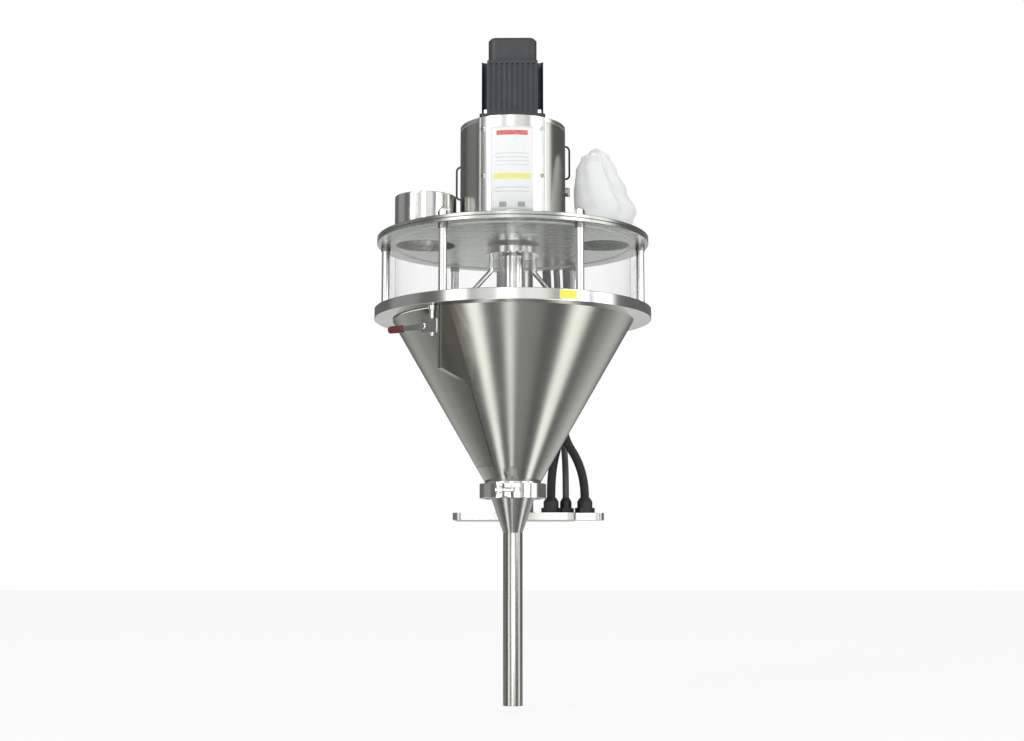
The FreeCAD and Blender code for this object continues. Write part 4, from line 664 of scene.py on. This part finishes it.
def bag_points(rings=150, round_steps=220):
    """The bag as rings over the height t from 0 to 1. A ring is an oval about a
    leaning middle: half width and half depth come from knots. Slow waves swell the
    cloth, one deep crease runs down the front right, and short pleats gather it at
    the strap and at the top. The last rings shrink to one point and close it."""
    t = np.linspace(0, 1, rings)[:, None]
    turn = np.linspace(0, 2 * np.pi, round_steps, endpoint=False)[None, :]
    knots = (0.0, 0.13, 0.19, 0.30, 0.52, 0.78, 0.92, 1.0)
    middle = smooth(t, knots, (0, 0, 0.001, 0.006, -0.004, -0.012, -0.013, -0.014))
    snug = COLLAR_R + 0.0025
    half_x = smooth(t, knots, (snug, snug, snug + 0.0015, 0.0615, 0.0525, 0.0400, 0.0290, 0.0110))
    half_y = smooth(t, knots, (snug, snug, snug + 0.0010, 0.0575, 0.0510, 0.0370, 0.0235, 0.0070))
    slack = smooth(t, (0, 0.14, 0.3, 0.75, 1.0), (0.0, 0.02, 0.6, 1.0, 0.7))
    swell = 0.026 * np.sin(3 * turn + 1.3 + 2.0 * t) + 0.015 * np.sin(7 * turn - 4.0 * t + 0.5)
    crease = -0.20 * np.exp(-((turn - (5.38 - 0.30 * t)) / 0.13) ** 2) \
        + 0.06 * np.exp(-((turn - (5.75 - 0.25 * t)) / 0.22) ** 2) \
        - 0.07 * np.exp(-((turn - (4.25 - 0.35 * t)) / 0.20) ** 2) \
        - 0.09 * np.exp(-((turn - (2.10 + 0.25 * t)) / 0.16) ** 2)
    strap_pleats = 0.010 * np.sin(46 * turn) * np.exp(-((t - 0.085) / 0.05) ** 2)
    top_pleats = 0.07 * np.sin(13 * turn + 0.7) * smooth(t, (0.0, 0.84, 1.0), (0.0, 0.0, 1.0))
    radius = 1 + slack * (swell + crease) + strap_pleats + top_pleats
    droop = 0.005 * slack * np.sin(turn * 2 + 1.0)
    x = COLLAR_X + middle + half_x * radius * np.cos(turn)
    y = COLLAR_Y + half_y * radius * np.sin(turn)
    z = bag_low.z + t * (BAG_HEIGHT - 0.003) - droop * t
    body = np.stack(np.broadcast_arrays(x, y, z), axis=-1)
    tip = body[-1].mean(axis=0) + (0, 0, 0.0012)
    closing = np.stack([body[-1] * (1 - s) + tip * s for s in (0.4, 0.75, 1.0)])
    return np.concatenate([body, closing], axis=0)


bag = grid_mesh("breather_bag", bag_points(), closed_columns=True)
area = sum(face.area for face in bag.data.polygons)
thicken = bag.modifiers.new("cloth", "SOLIDIFY")
thicken.thickness = 0.0009
thicken.offset = -1.0
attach(bag, "frame")
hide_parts("vent_bag")
print("bag cloth:", round(area, 4), "square metres")

# %% [markdown]
# White filter cloth is a dense, slightly hairy weave. Two crossed waves make the
# threads, noise the fuzz, and a slow noise the grey of powder in the folds.

# %% Cloth finish
def filter_cloth(name, colour):
    """Woven cloth: crossed sine waves along the bag's own two directions."""
    cloth = Finish(name, colour, 0.85, Sheen_Weight=0.25, Sheen_Roughness=0.5)
    spot, (x, y, z) = cloth.place((COLLAR_X, COLLAR_Y, 0.0))
    flat = cloth.node("SeparateXYZ", Vector=cloth.node("TexCoord").outputs["UV"])
    warp = cloth.maths("SINE", cloth.field(flat.outputs[0]) * 1900.0)
    weft = cloth.maths("SINE", cloth.field(flat.outputs[1]) * 980.0)
    fuzz = cloth.noise(spot, 380.0, 4.0, 0.65)
    soil = cloth.noise(cloth.joined(x * 16.0, y * 16.0, z * 9.0), 1.0, 4.0, 0.6)
    weave = 0.25 * (warp + weft) + 0.8 * fuzz
    grey = tuple(c * 0.86 for c in colour) + (1.0,)
    cloth.put("Base Color", cloth.blend(0.85 * cloth.ramp(soil, 0.42, 0.85) + 0.12 * fuzz,
                                        cloth.colour, grey))
    cloth.put("Roughness", 0.78 + 0.15 * fuzz)
    cloth.raise_by(weave, 0.0006, 0.35)
    return cloth.material


bag.data.materials.append(filter_cloth("filter_cloth", (0.80, 0.81, 0.815)))
print("cloth finish made")

# %% [markdown]
# ## Plate and patch
# The cover carries a white plate with plain coloured bars, and the flange's rim a
# small yellow patch. Both are thin skins bent round the piece that carries them.
# They are generic: there is no lettering on them.

# %% Curved plates
def curved_plate(name, radius, middle, width, z0, z1, thickness):
    """A skin on an upright cylinder: angle = middle + u x width / radius, height from
    z0 to z1. It stands a thickness off the cylinder and rounds down at its edges."""
    v = np.linspace(0, 1, 25)[:, None]
    u = np.linspace(-0.5, 0.5, 33)[None, :]
    edge = np.minimum(np.minimum(u + 0.5, 0.5 - u), np.minimum(v, 1 - v))
    r = radius + thickness * (0.3 + 0.7 * np.minimum(1, 12 * edge) ** 0.5)
    angle = math.radians(middle) + u * width / radius
    x = r * np.sin(angle)
    y = AXIS_Y - r * np.cos(angle)
    plate = grid_mesh(name, np.stack(np.broadcast_arrays(x, y, z0 + (z1 - z0) * v), axis=-1))
    solid = plate.modifiers.new("back", "SOLIDIFY")
    solid.thickness = thickness * 0.25
    solid.offset = -1.0
    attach(plate, "frame")
    return plate


cover_r = AXIS_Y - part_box("front_cover")[0].y
plate = curved_plate("rating_plate", cover_r + 0.0001, 0.0, 0.086, 0.588, 0.754, 0.0006)


def printed_plate(name):
    """Plain bars on white, by height on the plate: red at the top, pale grey rules,
    a pale yellow bar and two grey squares at the foot."""
    card = Finish(name, (0.80, 0.81, 0.82), 0.35)
    spot, (x, y, z) = card.place()
    across = card.maths("ABSOLUTE", x)
    red = card.band(z, 0.7405, 0.0040, 0.0012) * card.band(across, 0.0, 0.030, 0.001)
    yellow = card.band(z, 0.6545, 0.0050, 0.0012) * card.band(across, 0.0, 0.0365, 0.001)
    comb = card.maths("SINE", z * (2 * math.pi / 0.0075))
    ruled = card.ramp(comb, 0.5, 0.9) * card.band(across, 0.0, 0.032, 0.002)
    rules = ruled * card.band(z, 0.6900, 0.013, 0.001)
    low_rules = ruled * card.band(z, 0.6290, 0.008, 0.001)
    feet = card.band(z, 0.5985, 0.0045, 0.001) * card.band(across, 0.018, 0.0065, 0.001)
    ink = card.blend(red, (0.80, 0.81, 0.82, 1), (0.62, 0.10, 0.09, 1))
    ink = card.blend(yellow, ink, (0.80, 0.76, 0.24, 1))
    ink = card.blend(0.35 * rules + 0.4 * low_rules, ink, (0.28, 0.29, 0.33, 1))
    ink = card.blend(0.75 * feet, ink, (0.20, 0.21, 0.23, 1))
    dirt = card.noise(spot, 60.0, 4.0, 0.6)
    card.put("Base Color", card.blend(0.25 * card.ramp(dirt, 0.45, 0.8), ink, (0.62, 0.62, 0.58, 1)))
    card.put("Roughness", 0.28 + 0.2 * dirt)
    card.raise_by(dirt, 0.0001, 0.3)
    return card.material


plate.data.materials.append(printed_plate("printed_plate"))

flange_low, flange_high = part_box("flange_ring")
patch = curved_plate("yellow_patch", (flange_high.x - flange_low.x) / 2 - 0.0002, 22.5, 0.036,
                     flange_low.z + 0.003, flange_high.z - 0.002, 0.0003)


def worn_sticker(name, colour):
    """A bare sticker, rubbed pale in patches."""
    skin = Finish(name, colour, 0.4)
    spot, _ = skin.place()
    rub = skin.noise(spot, 90.0, 4.0, 0.6)
    pale_tone = tuple(c * 0.6 + 0.35 for c in colour) + (1.0,)
    skin.put("Base Color", skin.blend(0.5 * skin.ramp(rub, 0.5, 0.8), skin.colour, pale_tone))
    skin.put("Roughness", 0.3 + 0.25 * rub)
    skin.raise_by(rub, 0.0001, 0.3)
    return skin.material


patch.data.materials.append(worn_sticker("yellow_sticker", (0.78, 0.72, 0.05)))
print("plate and patch placed")

# %% [markdown]
# ## Weld beads
# Where sheet meets sheet there is a weld: the inlet collar on the lid, the foot of
# the drive housing and the column on its plate. A bead is a thin ring with the
# ripples that the torch leaves.

# %% Weld beads
def weld_bead(name, centre, radius, level, size, ripple=0.0032):
    """A rippled ring: a circle of the bead's size carried round the joint, its size
    waving once for each ripple's length."""
    turns = 720
    u = np.linspace(0, 2 * np.pi, turns, endpoint=False)[None, :]
    v = np.linspace(0, 2 * np.pi, 10, endpoint=False)[:, None]
    count = round(2 * math.pi * radius / ripple)
    grow = size * (1 + 0.16 * np.sin(count * u))
    r = radius + grow * np.cos(v)
    points = np.stack([centre[0] + r * np.cos(u), centre[1] + r * np.sin(u),
                       level + grow * np.sin(v)], axis=-1)
    bead = grid_mesh(name, points, closed_rows=True, closed_columns=True)
    bead.data.materials.append(bead_steel)
    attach(bead, "frame")
    return bead


bead_steel = polished_steel("bead_steel", (0.62, 0.62, 0.60), 0.24)
lid_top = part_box("lid")[1].z
inlet_low, inlet_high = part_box("inlet_collar")
inlet_at = ((inlet_low.x + inlet_high.x) / 2, (inlet_low.y + inlet_high.y) / 2)
weld_bead("inlet_weld", inlet_at, (inlet_high.x - inlet_low.x) / 2 + 0.0006, lid_top + 0.0008, 0.0016)
column_low, column_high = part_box("column")
weld_bead("column_weld", (0, 0), (column_high.x - column_low.x) / 2 + 0.0008, column_low.z + 0.0012, 0.0024)
housing_low, housing_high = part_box("drive_housing")
weld_bead("housing_weld", (0, AXIS_Y), (housing_high.x - housing_low.x) / 2 + 0.0003,
          housing_low.z + 0.0008, 0.0012)
print("beads made")
